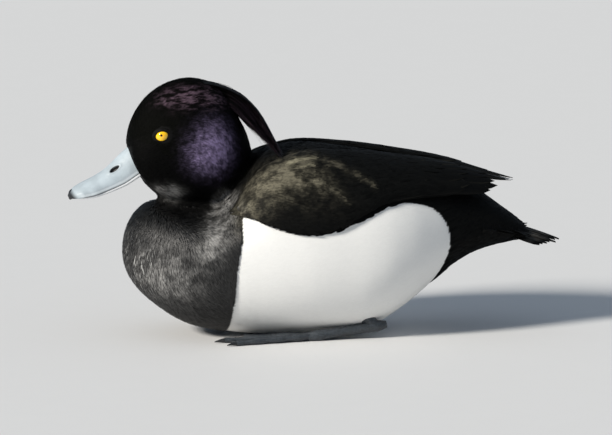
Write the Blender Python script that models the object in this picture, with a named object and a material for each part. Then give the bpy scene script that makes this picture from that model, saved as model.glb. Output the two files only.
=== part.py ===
"""Tufted duck drake: a still, life-size model that sits on its belly with its feet tucked under.

Metres, +Z up. The bill points to -X and the duck's left side is -Y. The origin is the middle
of the flat patch under the belly, which rests on the floor at Z = 0.
"""

import math
import random

import bmesh
import bpy
from mathutils import Vector

GAP = 0.0003  # clearance between nodes that touch

# Head: a full, rounded ball of plumage
HEAD_CENTRE = Vector((-0.0605, 0, 0.116))
HEAD_RADIUS = 0.037
HEAD_HALF_WIDTH = 0.0262
CHIN_FLAT = 0.0025
CHEEK_FULL = 0.0022  # the cheek and throat feathers hang over the neck
BROW_FLAT = 0.0014
NAPE_FULL = 0.0080  # the nape's plumage swells low down, and is drawn in under the crest
NAPE_HOLLOW = 0.0050

# Eyes and lids, set by the direction from the head's centre in side view
EYE_RADIUS = 0.0049
EYE_SET_BACK = 0.0036  # from the plumage's surface to the eyeball's centre
EYE_FORWARD = -0.52
EYE_RAISED = 0.15
EYE_TURNED_FORWARD = 0.25
LID_WIDTH = 0.0043
LID_HEIGHT = 0.0037
LID_THICKNESS = 0.0009
LID_SET_BACK = 0.0006
LID_ROUNDING = 0.25  # the ring's thickness as a share of its radius, before it is fitted

# Neck: drawn down between the shoulders, where it spreads into the breast. Height, half length, half width
NECK_MIDDLE = -0.0515
NECK_LEAN = 0.17  # how far it leans forward for its height
NECK_STATIONS = (
    (0.059, 0.036, 0.046),
    (0.066, 0.036, 0.041),
    (0.072, 0.035, 0.035),
    (0.077, 0.033, 0.028),
    (0.080, 0.031, 0.022),
    (0.082, 0.029, 0.016),
    (0.085, 0.025, 0.012),
    (0.092, 0.022, 0.011),
    (0.105, 0.020, 0.011),
)

# Bill: its base is on the head, and it slopes down from the gape
BILL_BASE = Vector((-0.088, 0, 0.0995))
BILL_SLOPE = math.radians(30)
BILL_LENGTH = 0.0462
BILL_SUNK = 0.010  # how far the bill starts inside the head
NAIL_LENGTH = 0.0071
NAIL_WIDTH = 0.0070
NAIL_HEIGHT = 0.0050
NAIL_SET_BACK = 0.0033
NAIL_UP = 0.0083
NAIL_HOOK = 0.0018
LOWER_BILL_END = 0.0415
LOWER_BILL_INSET = 0.0012
LOWER_BILL_DEPTHS = (0.0018, 0.0052)  # at its tip and at its root
NOSTRIL_LENGTH = 0.0062
NOSTRIL_HEIGHT = 0.0020
NOSTRIL_ALONG = 0.0146
NOSTRIL_UP = 0.0091
NOSTRIL_ACROSS = 0.0088
NOSTRIL_REACH = 0.0042

# Trunk: the body ends at TAIL_CUT, where the tail's coverts begin
BREAST_TIP_X = -0.100
BREAST_TIP_Z = 0.050
BREAST_ROUNDING = 0.050
TAIL_CUT = 0.102
TAIL_END = 0.143
TRUNK_POWER = 2.2

# Each trunk station: X, half width, top, widest height, bottom
TRUNK_STATIONS = (
    (-0.100, 0.042, 0.0950, 0.050, 0.0105),
    (-0.085, 0.047, 0.0900, 0.050, 0.0100),
    (-0.070, 0.0495, 0.0810, 0.050, 0.0070),
    (-0.060, 0.0505, 0.0765, 0.050, 0.0050),
    (-0.050, 0.0525, 0.0765, 0.051, 0.0034),
    (-0.040, 0.0545, 0.0830, 0.052, 0.0012),
    (-0.030, 0.0560, 0.0965, 0.053, 0.0000),
    (-0.024, 0.0567, 0.1038, 0.0536, -0.0004),
    (-0.020, 0.0572, 0.1074, 0.054, -0.0007),
    (-0.008, 0.0582, 0.1110, 0.055, -0.0010),
    (0.006, 0.0588, 0.1126, 0.056, -0.0010),
    (0.036, 0.0570, 0.1092, 0.057, -0.0007),
    (0.050, 0.0550, 0.1068, 0.057, 0.0040),
    (0.066, 0.0500, 0.1032, 0.058, 0.0140),
    (0.082, 0.0420, 0.0975, 0.059, 0.0270),
    (0.095, 0.0345, 0.0910, 0.060, 0.0385),
    (0.110, 0.0270, 0.0840, 0.061, 0.0465),
    (0.125, 0.0195, 0.0735, 0.060, 0.0505),
    (0.143, 0.0085, 0.0592, 0.0565, 0.0532),
)

# White belly and flanks in side view: the line round them, from the breast over the flank to the vent
BELLY_LINE = (
    (-0.040, -0.010), (-0.040, 0.010), (-0.0385, 0.045), (-0.036, 0.062), (-0.0335, 0.0765),
    (-0.022, 0.0722), (-0.010, 0.0678), (0.001, 0.0658), (0.013, 0.0662), (0.0256, 0.0690),
    (0.0376, 0.0740), (0.0495, 0.0795), (0.062, 0.0815), (0.0748, 0.0795), (0.0844, 0.0735),
    (0.0894, 0.0640), (0.0903, 0.0550), (0.0875, 0.0440), (0.082, 0.0320), (0.074, 0.0180),
    (0.064, -0.010),
)

# The wings lie on a roof over the trunk that runs on straight past the rump
ROOF_STATIONS = (
    (-0.050, 0.0525, 0.0765, 0.051),
    (-0.040, 0.0545, 0.0830, 0.052),
    (-0.030, 0.0560, 0.0965, 0.053),
    (-0.024, 0.0567, 0.1038, 0.0536),
    (-0.020, 0.0572, 0.1074, 0.054),
    (-0.008, 0.0582, 0.1110, 0.055),
    (0.006, 0.0588, 0.1126, 0.056),
    (0.036, 0.0570, 0.1092, 0.057),
    (0.050, 0.0550, 0.1068, 0.057),
    (0.066, 0.0503, 0.1038, 0.058),
    (0.082, 0.0440, 0.1008, 0.060),
    (0.096, 0.0370, 0.0975, 0.064),
    (0.114, 0.0240, 0.0925, 0.069),
    (0.134, 0.0120, 0.0870, 0.074),
)
WING_FRONT = -0.0360
WING_PAD_REAR = 0.116
WING_TIP = 0.134
WING_THICKNESS = 0.0034
WING_EDGE = 0.0010
WING_CLEARANCE = 0.0008  # so that its flat facets stay a gap's width off the round trunk
# The wing's upper edge as turns in degrees from the middle of the back, and its lower edge as heights
WING_UPPER_EDGE = (
    (-0.0375, 27), (-0.020, 16), (0.006, 13), (0.036, 7), (0.066, 5.5), (0.096, 6), (0.116, 9), (0.134, 16),
)
WING_LOWER_EDGE = (
    (-0.0375, 0.0762), (-0.0335, 0.0764), (-0.022, 0.0728), (-0.010, 0.0684), (0.001, 0.0664),
    (0.013, 0.0668), (0.0256, 0.0696), (0.0376, 0.0746), (0.0495, 0.0803), (0.062, 0.0828),
    (0.0748, 0.0838), (0.090, 0.0845), (0.116, 0.0845), (0.134, 0.0845),
)

# Wing feathers in tiers: root X, length, half width, the vanes' places across the wing, pointedness
WING_TIERS = (
    (-0.031, 0.024, 0.0075, (0.20, 0.52, 0.84), 0.4),
    (-0.015, 0.031, 0.0080, (0.12, 0.38, 0.64, 0.88), 0.4),
    (0.006, 0.035, 0.0082, (0.12, 0.38, 0.65, 0.90), 0.45),
    (0.028, 0.040, 0.0080, (0.12, 0.39, 0.66, 0.91), 0.5),
    (0.052, 0.048, 0.0064, (0.12, 0.38, 0.64, 0.88), 0.5),
    (0.078, 0.040, 0.0050, (0.22, 0.52, 0.82), 0.6),
    (0.088, 0.047, 0.0036, (0.16, 0.30, 0.44, 0.58), 0.85),
)
VANE_PLACES = (0, 0.42, 0.84, 1)  # where a vane's sections are along it
VANE_THICKNESS = 0.00065
VANE_ROOT_DEPTH = 0.0010
VANE_FLOOR = 0.0010
VANE_LIFT = 0.0011  # how far a vane's tip stands off the pad, to clear the next tier's roots
VANE_LAP = 0.00055  # a vane's lower edge stands out, and its upper edge in, by this much

# Tail: the feathers fan out from the coverts, the middle pair on top
TAIL_FEATHERS = 14
TAIL_ROOT = Vector((0.116, 0, 0.0668))
TAIL_ROOT_SPREAD = 0.0032
TAIL_SLOPE = -0.27
TAIL_BEND_FROM = 0.132
TAIL_BEND = 3.0  # how fast the feathers curve down past that
TAIL_FAN = math.radians(21)
TAIL_MIDDLE_LENGTH = 0.0445
TAIL_OUTER_LENGTH = 0.0330
TAIL_FEATHER_HALF_WIDTH = 0.0042
TAIL_FEATHER_THICKNESS = 0.00055
TAIL_STEP = 0.00100  # each feather lies this far under the one nearer the middle
TAIL_TILT = 0.0006  # how far the outer feathers' outer edges hang
TAIL_SECTIONS = ((0, 0.45), (0.4, 0.9), (0.8, 1.0), (1, 0.42))  # place along a feather, share of its width
COVERT_ROWS = ((0.106, 0.020, 60), (0.119, 0.020, 52))  # root X, length, half the arc in degrees
COVERT_HALF_WIDTH = 0.0046
COVERT_THICKNESS = 0.0007
COVERT_ROOT_DEPTH = 0.0009
COVERT_RISE = 0.0013
COVERT_SECTIONS = ((0, 0.6), (0.5, 1.0), (1, 0.35))

# Crest: from the crown's rear it arches back and down to the left of the mantle
CREST_PATH = (
    Vector((-0.0490, 0, 0.1492)), Vector((-0.0300, 0, 0.1447)),
    Vector((-0.0204, -0.003, 0.1255)), Vector((-0.0102, -0.0150, 0.1132)),
)
CREST_ROW = 5  # locks side by side
CREST_LAYER_STARTS = (0.04, 0.09, 0.14)  # along the path, from the outer layer to the inner one
CREST_LAYER_ENDS = (1.0, 0.97, 0.90)
CREST_LOCK_THICKNESS = 0.0011
CREST_LOCK_HALF_WIDTHS = (0.0018, 0.0023)
CREST_LOCK_SECTIONS = ((0, 0.85), (0.4, 1.0), (0.75, 0.8), (1, 0.18))  # place along it, share of its width
CREST_LOCK_ROLL = 0.45
CREST_SPREAD = 0.0088  # half the crest's width at the crown
CREST_GATHER = 0.72  # the share of that lost at the tip
CREST_LAYER = 0.0023
CREST_THINNER = 0.35
CREST_CROWN = 0.0010  # how much lower the side locks lie than the middle ones
CREST_STRAY = 0.0016
CREST_BASE_MIDDLE = 33  # degrees back from straight up
CREST_BASE_HALF_ARC = 25
CREST_BASE_HALF_WIDTH = 26
CREST_BASE_RISE = 0.0012
CREST_BASE_DEPTH = 0.0026

# Legs: the shank lies flat under the belly, and the toes point forward
HEEL = Vector((0.046, 0.033, 0.0072))
TOE_ROOT = Vector((0.012, 0.0365, 0.0030))
THIGH_TOP = Vector((0.034, 0.030, 0.0200))
TOE_RADIUS = 0.0021
# Each toe: its length, its turn outward in degrees, and the number of its joints
TOES = {"inner": (0.044, -13, 2), "middle": (0.056, 1, 3), "outer": (0.052, 14, 4)}
SHANK_RADII = (0.0030, 0.0042, 0.0033, 0.0028, 0.0027, 0.0029, 0.0034, 0.0026)
THIGH_RADII = (0.0044, 0.0056, 0.0070)
CLAW_SECTIONS = ((-0.2, 0.0013), (0.3, 0.0011), (0.7, 0.0008), (1.0, 0.0004))  # place along it, radius
HIND_TOE_LENGTH = 0.013
HIND_TOE_SECTIONS = ((0, 0.0016), (0.4, 0.0019), (0.8, 0.0014), (1.0, 0.0007))
WEB_THICKNESS = 0.0011
WEB_FLOOR = 0.0004
WEB_CURVE = 0.16  # how far the web's front edge is drawn back, as a share of the toes' length
CLAW_LENGTH = 0.006

PLUMAGE_BLACK = (0.012, 0.012, 0.013, 1)
HEAD_BLACK = (0.018, 0.012, 0.026, 1)
WING_BROWN_BLACK = (0.022, 0.020, 0.017, 1)
PLUMAGE_WHITE = (0.86, 0.86, 0.84, 1)
BILL_BLUE = (0.42, 0.52, 0.60, 1)
NAIL_BLACK = (0.012, 0.013, 0.015, 1)
EYE_YELLOW = (0.85, 0.52, 0.01, 1)
FOOT_GREY = (0.16, 0.19, 0.20, 1)


def smooth(knots):
    """A curve through (place, value) pairs that doesn't overshoot between them."""
    places = [knot[0] for knot in knots]
    values = [knot[1] for knot in knots]
    steps = [(v1 - v0) / (p1 - p0) for p0, p1, v0, v1 in zip(places, places[1:], values, values[1:])]
    slopes = [steps[0]]
    slopes += [2 * a * b / (a + b) if a * b > 0 else 0 for a, b in zip(steps, steps[1:])]
    slopes.append(steps[-1])

    def value(place):
        place = min(max(place, places[0]), places[-1])
        span = max(i for i in range(len(steps)) if place >= places[i])
        width = places[span + 1] - places[span]
        t = (place - places[span]) / width
        return (
            values[span] * (1 + 2 * t) * (1 - t) ** 2
            + values[span + 1] * t * t * (3 - 2 * t)
            + slopes[span] * width * t * (1 - t) ** 2
            - slopes[span + 1] * width * t * t * (1 - t)
        )

    return value


class Form:
    """A body form along X with superellipse sections. A turn of 0 is its top and 180 degrees its bottom."""

    def __init__(self, stations, nose=None):
        curves = [smooth([(station[0], station[k]) for station in stations]) for k in (1, 2, 3)]
        self.half_width, self.top, self.middle = curves
        self.bottom = smooth([(s[0], s[4]) for s in stations]) if len(stations[0]) > 4 else None
        self.nose = nose

    def section_point(self, x, turn):
        """The point at this turn, towards +Y."""
        width, top, middle = self.half_width(x), self.top(x), self.middle(x)
        bottom = self.bottom(x) if self.bottom else 2 * middle - top
        if self.nose:
            nose_x, nose_z, rounding = self.nose
            t = min((x - nose_x) / rounding, 1)
            grown = math.sqrt(max(1 - (1 - t) ** 2, 0))
            width *= grown
            top, middle, bottom = (nose_z + (z - nose_z) * grown for z in (top, middle, bottom))
        power = 2 / TRUNK_POWER
        side = math.copysign(abs(math.sin(turn)) ** power, math.sin(turn))
        rise = abs(math.cos(turn)) ** power
        z = middle + (top - middle) * rise if math.cos(turn) > 0 else middle - (middle - bottom) * rise
        return Vector((x, width * side, z))

    def turn_at(self, x, height):
        """The turn at which the section is this high above its widest part."""
        rise = (height - self.middle(x)) / (self.top(x) - self.middle(x))
        return math.acos(min(max(rise, 0), 1) ** (TRUNK_POWER / 2))

    def point(self, x, turn, out=0.0):
        """The same point, moved out along the form's normal."""
        here = self.section_point(x, turn)
        if not out:
            return here
        step = 1e-4
        along = self.section_point(x + step, turn) - self.section_point(x - step, turn)
        round_it = self.section_point(x, turn + 0.01) - self.section_point(x, turn - 0.01)
        return here + along.cross(round_it).normalized() * out


TRUNK = Form(TRUNK_STATIONS, nose=(BREAST_TIP_X, BREAST_TIP_Z, BREAST_ROUNDING))
ROOF = Form(ROOF_STATIONS)


def new_object(name, bm):
    """An object in the part's collection from a bmesh, which is freed."""
    bm.normal_update()
    bmesh.ops.recalc_face_normals(bm, faces=bm.faces)
    mesh = bpy.data.meshes.new(name)
    bm.to_mesh(mesh)
    bm.free()
    obj = bpy.data.objects.new(name, mesh)
    bpy.data.collections["tufted_duck"].objects.link(obj)
    return obj


def loft(name, rings, start_tip=None, end_tip=None):
    """A closed form through rings of equally many points. An end without a tip is closed flat."""
    bm = bmesh.new()
    loops = [[bm.verts.new(p) for p in ring] for ring in rings]
    count = len(loops[0])
    for first, second in zip(loops, loops[1:]):
        for i in range(count):
            j = (i + 1) % count
            bm.faces.new((first[i], first[j], second[j], second[i]))
    for ring, tip in ((loops[0], start_tip), (loops[-1], end_tip)):
        if tip is None:
            bm.faces.new(ring)
            continue
        point = bm.verts.new(tip)
        for i in range(count):
            bm.faces.new((ring[i], ring[(i + 1) % count], point))
    return new_object(name, bm)


def apply_modifiers(obj):
    graph = bpy.context.evaluated_depsgraph_get()
    mesh = bpy.data.meshes.new_from_object(obj.evaluated_get(graph))
    obj.modifiers.clear()
    obj.data = mesh


def boolean(obj, other, operation, keep_other=False):
    """Cuts or joins two closed meshes, and removes the second."""
    modifier = obj.modifiers.new(operation.title(), "BOOLEAN")
    modifier.operation = operation
    modifier.object = other
    apply_modifiers(obj)
    if not keep_other:
        bpy.data.objects.remove(other)


def inflated(obj, distance=GAP):
    """A copy of a closed mesh, moved out along its normals, to cut its neighbour with."""
    copy = bpy.data.objects.new(obj.name + "_cutter", obj.data.copy())
    bpy.data.collections["tufted_duck"].objects.link(copy)
    normals = [v.normal.copy() for v in copy.data.vertices]
    for vertex, normal in zip(copy.data.vertices, normals):
        vertex.co += normal * distance
    return copy


def ball(name, place, across=32, up=20):
    """A round form: place gives the point for each point of the unit sphere."""
    bm = bmesh.new()
    bmesh.ops.create_uvsphere(bm, u_segments=across, v_segments=up, radius=1)
    for vertex in bm.verts:
        vertex.co = place(*vertex.co)
    return new_object(name, bm)


def trunk_form(name, start, end, rings, around=30):
    """The trunk from one X to another. The breast is rounded, and other ends are flat."""
    turns = [2 * math.pi * k / around for k in range(around)]
    nose = start <= BREAST_TIP_X
    places = []
    for i in range(rings + 1):
        t = i / rings
        if nose:
            t = 1 - math.cos(t * math.pi / 2) ** 1.15
            if i == 0:
                continue
        places.append(start + (end - start) * t)
    sections = [[TRUNK.section_point(x, turn) for turn in turns] for x in places]
    for section in sections:
        for point in section:
            point.z = max(point.z, 0)
    tip = Vector((BREAST_TIP_X, 0, BREAST_TIP_Z)) if nose else None
    return loft(name, sections, start_tip=tip)


def side_prism(name, outline, half_width=0.09):
    """A closed outline in the XZ plane, drawn out to both sides."""
    rings = [[Vector((x, y, z)) for x, z in outline] for y in (-half_width, half_width)]
    return loft(name, rings)


def grown_outline(outline, distance):
    """A closed outline moved outwards by a distance."""
    area = sum(a[0] * b[1] - b[0] * a[1] for a, b in zip(outline, outline[1:] + outline[:1]))
    side = math.copysign(distance, area)
    moved = []
    for before, here, after in zip(outline[-1:] + outline[:-1], outline, outline[1:] + outline[:1]):
        tangent = Vector((after[0] - before[0], after[1] - before[1])).normalized()
        moved.append((here[0] + tangent.y * side, here[1] - tangent.x * side))
    return moved


def head_surface(x, y, z):
    """The head's surface for a point of the unit sphere: a narrower crown, and full beside the bill."""
    power = 2 + 1.2 * min(max((-x - 0.3) / 0.5, 0), 1) * min(max((0.1 - z) / 0.3, 0), 1)
    if abs(y) < 0.98:
        full = (1 - abs(y) ** power) ** (1 / power) / math.sqrt(1 - y * y)
        x, z = x * full, z * full
    width = HEAD_HALF_WIDTH * (1 - 0.12 * z + 0.05 * x)
    front, rear = max(0.0, -x), max(0.0, x)
    radius = HEAD_RADIUS - CHIN_FLAT * front * max(0.0, -z) - BROW_FLAT * front * max(0.0, z)
    radius += CHEEK_FULL * max(0.0, -z) ** 2 + NAPE_FULL * rear * max(0.0, -z)
    radius -= NAPE_HOLLOW * rear * math.exp(-(((z - 0.47) / 0.42) ** 2))
    return HEAD_CENTRE + Vector((x * radius, y * width, z * radius))


def eye_direction(side):
    y = math.sqrt(1 - EYE_FORWARD**2 - EYE_RAISED**2)
    return Vector((EYE_FORWARD, side * y, EYE_RAISED))


def eye_outward(side):
    return Vector((-EYE_TURNED_FORWARD, side, 0)).normalized()


def eye_centre(side):
    return head_surface(*eye_direction(side)) - eye_outward(side) * EYE_SET_BACK


def make_lid(side):
    """The ring of both eyelids, round the front of the eyeball."""
    bpy.ops.mesh.primitive_torus_add(
        major_segments=16, minor_segments=6, major_radius=1, minor_radius=LID_ROUNDING
    )
    lid = bpy.context.object
    outward = eye_outward(side)
    forward = outward.cross(Vector((0, 0, 1))).normalized()
    middle = eye_centre(side) + outward * (EYE_SET_BACK - LID_SET_BACK)
    for vertex in lid.data.vertices:
        x, y, z = vertex.co
        ring = math.hypot(x, y)
        thick = 1 + (ring - 1) * LID_THICKNESS / LID_WIDTH / LID_ROUNDING
        vertex.co = (
            middle
            + forward * (x / ring * LID_WIDTH * thick)
            + Vector((0, 0, 1)) * (y / ring * LID_HEIGHT * thick)
            + outward * (z / LID_ROUNDING * LID_THICKNESS)
        )
    if side > 0:
        lid.data.flip_normals()
    return lid


def make_eye(name, side, radius):
    centre = eye_centre(side)
    return ball(name, lambda x, y, z: centre + Vector((x, y, z)) * radius, across=14, up=9)


def bezier(points, t):
    a, b, c, d = points
    return a * (1 - t) ** 3 + b * (3 * t * (1 - t) ** 2) + c * (3 * t * t * (1 - t)) + d * t**3


def strip(name, stations, thickness):
    """A tapered vane of even thickness. Each station is its middle, half width as a vector, and way up."""
    bm = bmesh.new()
    rings = []
    for middle, half, up in stations:
        low, high = up * (-thickness / 2), up * (thickness / 2)
        corners = (high - half, high + half, low + half, low - half)
        rings.append([bm.verts.new(middle + corner) for corner in corners])
    for first, second in zip(rings, rings[1:]):
        for i in range(4):
            j = (i + 1) % 4
            # The upper and lower faces are split along the same diagonal
            bm.faces.new((first[i], first[j], second[j]) if i == 0 else (first[i], first[j], second[i]))
            bm.faces.new((first[i], second[j], second[i]) if i == 0 else (first[j], second[j], second[i]))
    bm.faces.new(rings[0])
    bm.faces.new(rings[-1])
    return new_object(name, bm)


def make_crest_base():
    """The patch of the rear crown that the crest's locks grow from, bedded in the head."""

    def place(x, y, z):
        polar = math.radians(CREST_BASE_MIDDLE + CREST_BASE_HALF_ARC * x)
        across = math.radians(CREST_BASE_HALF_WIDTH) * y
        level = math.cos(across)
        surface = head_surface(math.sin(polar) * level, math.sin(across), math.cos(polar) * level)
        outward = (surface - HEAD_CENTRE).normalized()
        return surface + outward * (CREST_BASE_RISE * z if z > 0 else CREST_BASE_DEPTH * z)

    return ball("crest_base", place, across=16, up=6)


def make_crest_locks():
    """The crest's locks: the upper ones reach furthest, and all draw together towards the tip."""
    draw = random.Random(4)
    locks = []
    for k in range(CREST_ROW * len(CREST_LAYER_STARTS)):
        side = (k % CREST_ROW) / (CREST_ROW - 1) * 2 - 1
        layer = k // CREST_ROW
        start = CREST_LAYER_STARTS[layer] + 0.05 * draw.random()
        end = CREST_LAYER_ENDS[layer] - 0.10 * abs(side) - 0.05 * draw.random()
        stray = draw.uniform(-CREST_STRAY, CREST_STRAY)
        half_width = draw.uniform(*CREST_LOCK_HALF_WIDTHS)
        stations = []
        for s, taper in CREST_LOCK_SECTIONS:
            t = start + (end - start) * s
            along = (bezier(CREST_PATH, t + 0.01) - bezier(CREST_PATH, t - 0.01)).normalized()
            across = (Vector((0, 1, 0)) - along * along.y).normalized()
            up = across.cross(along) * -1
            sideways = side * CREST_SPREAD * (1 - CREST_GATHER * t) + stray * s * s
            height = (1 - layer) * CREST_LAYER * (1 - CREST_THINNER * t) - CREST_CROWN * side * side
            half = (across - up * (CREST_LOCK_ROLL * side)).normalized() * (half_width * taper)
            stations.append((bezier(CREST_PATH, t) + across * sideways + up * height, half, up))
        locks.append(strip("lock", stations, CREST_LOCK_THICKNESS))
    return locks


def bill_point(along, across, up):
    """A point in the bill's own frame: along it from the base, across to +Y, and up at right angles."""
    forward = Vector((-math.cos(BILL_SLOPE), 0, -math.sin(BILL_SLOPE)))
    rise = Vector((-math.sin(BILL_SLOPE), 0, math.cos(BILL_SLOPE)))
    return BILL_BASE + forward * along + Vector((0, across, 0)) + rise * up


# The bill's outlines along its length: the culmen's height, the mouth line's height and the half width
CULMEN = smooth((
    (-0.010, 0.0175), (0.0, 0.0154), (0.0067, 0.0142), (0.012, 0.0128), (0.0171, 0.0115), (0.022, 0.0108),
    (0.0266, 0.0107), (0.0314, 0.0109), (0.036, 0.0112), (0.040, 0.0111), (0.0435, 0.0103), (0.0462, 0.0085),
))
MOUTH = smooth((
    (-0.010, 0.0003), (0.004, -0.0003), (0.0132, -0.0009), (0.0202, -0.0002), (0.027, 0.0009),
    (0.0329, 0.0022), (0.0401, 0.0048), (0.0462, 0.0072),
))
BILL_HALF_WIDTH = smooth((
    (-0.010, 0.0098), (0.004, 0.0096), (0.015, 0.0092), (0.025, 0.0100), (0.033, 0.0112),
    (0.0375, 0.0112), (0.041, 0.0098), (0.0437, 0.0076), (0.0455, 0.0048), (0.0462, 0.0028),
))


def bill_places(start, end, count):
    """Places along the bill, closer together towards its round tip."""
    return [start + (end - start) * math.sin(math.pi / 2 * i / count) for i in range(count + 1)]


def make_upper_bill():
    rings = []
    arch = 12
    for along in bill_places(-BILL_SUNK, BILL_LENGTH, 15):
        width, mouth, culmen = BILL_HALF_WIDTH(along), MOUTH(along), CULMEN(along)
        ring = []
        for k in range(arch + 1):
            turn = math.pi * k / arch
            up = mouth + (culmen - mouth) * math.sin(turn) ** 0.85
            ring.append(bill_point(along, width * math.cos(turn), up))
        for across, raised in ((-0.45, 0.6), (0, 1), (0.45, 0.6)):
            ring.append(bill_point(along, width * across, mouth + 0.0004 * raised))
        rings.append(ring)
    return loft("bill_upper", rings)


def make_lower_bill():
    rings = []
    shallow, deep = LOWER_BILL_DEPTHS
    for along in bill_places(-BILL_SUNK, LOWER_BILL_END, 11):
        share = (along + BILL_SUNK) / (LOWER_BILL_END + BILL_SUNK)
        width = max(BILL_HALF_WIDTH(along) - LOWER_BILL_INSET, 0.001) * math.sqrt(max(1 - share**8, 0.02))
        top = MOUTH(along) - GAP
        depth = shallow + (deep - shallow) * (1 - share) ** 1.5
        ring = []
        for k in range(9):
            turn = math.pi * k / 8
            ring.append(bill_point(along, width * math.cos(turn), top - depth * math.sin(turn) ** 0.7))
        for across in (-0.45, 0, 0.45):
            ring.append(bill_point(along, width * across, top))
        rings.append(ring)
    return loft("bill_lower", rings)


def make_nail():
    def place(x, y, z):
        along = BILL_LENGTH - NAIL_SET_BACK + x * NAIL_LENGTH / 2
        up = NAIL_UP + z * NAIL_HEIGHT / 2 - NAIL_HOOK * max(x, 0) ** 2
        return bill_point(along, y * NAIL_WIDTH / 2, up)

    return ball("bill_nail", place, across=14, up=8)


def make_nostril_cutter(side):
    def place(x, y, z):
        along = NOSTRIL_ALONG + x * NOSTRIL_LENGTH / 2
        across = side * NOSTRIL_ACROSS + y * NOSTRIL_REACH
        return bill_point(along, across, NOSTRIL_UP + z * NOSTRIL_HEIGHT / 2)

    return ball("nostril", place, across=10, up=6)


def make_neck():
    turns = [2 * math.pi * k / 28 for k in range(28)]
    rings = []
    for z, half_length, half_width in NECK_STATIONS:
        x = NECK_MIDDLE - NECK_LEAN * (z - NECK_STATIONS[0][0])
        rings.append([Vector((x + half_length * math.cos(a), half_width * math.sin(a), z)) for a in turns])
    return loft("neck", rings)


def wing_point(x, share, side, out=None):
    """A point on the wing: share runs from its upper to its lower edge, and out is the height over the pad.

    Without out it is on the pad's inner face, which nothing comes nearer to than VANE_FLOOR.
    """
    upper, lower = smooth(WING_UPPER_EDGE), smooth(WING_LOWER_EDGE)
    first, last = math.radians(upper(x)), ROOF.turn_at(x, lower(x))
    lens = (1 - (2 * min(max(share, 0), 1) - 1) ** 2) ** 0.6
    t = (x - WING_FRONT) / (WING_TIP - WING_FRONT)
    thick = WING_EDGE + WING_THICKNESS * lens * min(1, max(t * 8, 0) + 0.05) * min(1, (1 - t) * 4 + 0.1)
    height = 0 if out is None else max(thick + out, VANE_FLOOR)
    return ROOF.point(x, side * (first + (last - first) * share), WING_CLEARANCE + height)


def make_wing_pad(name, side):
    """The folded wing's body, on the roof over the trunk: the feathers grow from it."""
    steps, rows = 16, 6
    rings = []
    for i in range(steps + 1):
        t = (i / steps) ** 1.3
        x = WING_FRONT + (WING_PAD_REAR - WING_FRONT) * t
        spread = min(1, (t * 9) ** 0.5 + 0.25) * min(1, ((1 - t) * 5) ** 0.6 + 0.10)
        shares = [0.5 + (k / rows - 0.5) * spread for k in range(rows + 1)]
        outer = [wing_point(x, share, side, 0) for share in shares]
        inner = [wing_point(x, share, side) for share in shares]
        rings.append(outer + inner[::-1])
    return loft(name, rings)


def make_wing(name, side):
    """The folded wing: a pad, and vanes in tiers that lie back along it, upper ones over lower ones."""
    draw = random.Random(11 if side < 0 else 12)
    pieces = [make_wing_pad(name, side)]
    for start, length, half_width, shares, pointed in WING_TIERS:
        for share in shares:
            root = start + draw.uniform(-0.002, 0.002)
            reach = length * draw.uniform(0.95, 1.04)
            stations = []
            tapers = (0.55, 1.0, 0.95 - 0.40 * pointed, 0.45 - 0.32 * pointed)
            for s, taper in zip(VANE_PLACES, tapers):
                x = root + reach * s
                height = -VANE_ROOT_DEPTH + (VANE_ROOT_DEPTH + VANE_LIFT) * s
                here = wing_point(x, share, side, height)
                higher, lower = (wing_point(x, share + step, side, height) for step in (-0.02, 0.02))
                before, after = (wing_point(x + step, share, side, height) for step in (-0.001, 0.001))
                across, along = lower - higher, after - before
                up = along.cross(across).normalized() * side
                half = across.normalized() * (half_width * taper) + up * VANE_LAP
                stations.append((here, half, up))
            pieces.append(strip("vane", stations, VANE_THICKNESS))
    return joined(name, pieces)


def tube(name, path, radii, around=8, flat_floor=True):
    """A round form along a path, with its underside pressed flat on the floor."""
    rings = []
    for i, (here, radius) in enumerate(zip(path, radii)):
        before, after = path[max(i - 1, 0)], path[min(i + 1, len(path) - 1)]
        along = (after - before).normalized()
        across = along.cross(Vector((0, 0, 1))).normalized()
        up = across.cross(along)
        ring = []
        for k in range(around):
            turn = 2 * math.pi * k / around
            point = here + across * (radius * math.cos(turn)) + up * (radius * math.sin(turn))
            if flat_floor:
                point.z = max(point.z, 0)
            ring.append(point)
        rings.append(ring)
    return loft(name, rings)


def toe_path(side, length, outward):
    turn = math.radians(outward)
    root = Vector((TOE_ROOT.x, side * TOE_ROOT.y, TOE_ROOT.z))
    tip = root + Vector((-math.cos(turn) * length, side * math.sin(turn) * length, 0))
    return [root.lerp(tip, k / 7) + Vector((0, 0, -0.0014 * k / 7)) for k in range(8)]


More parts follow.
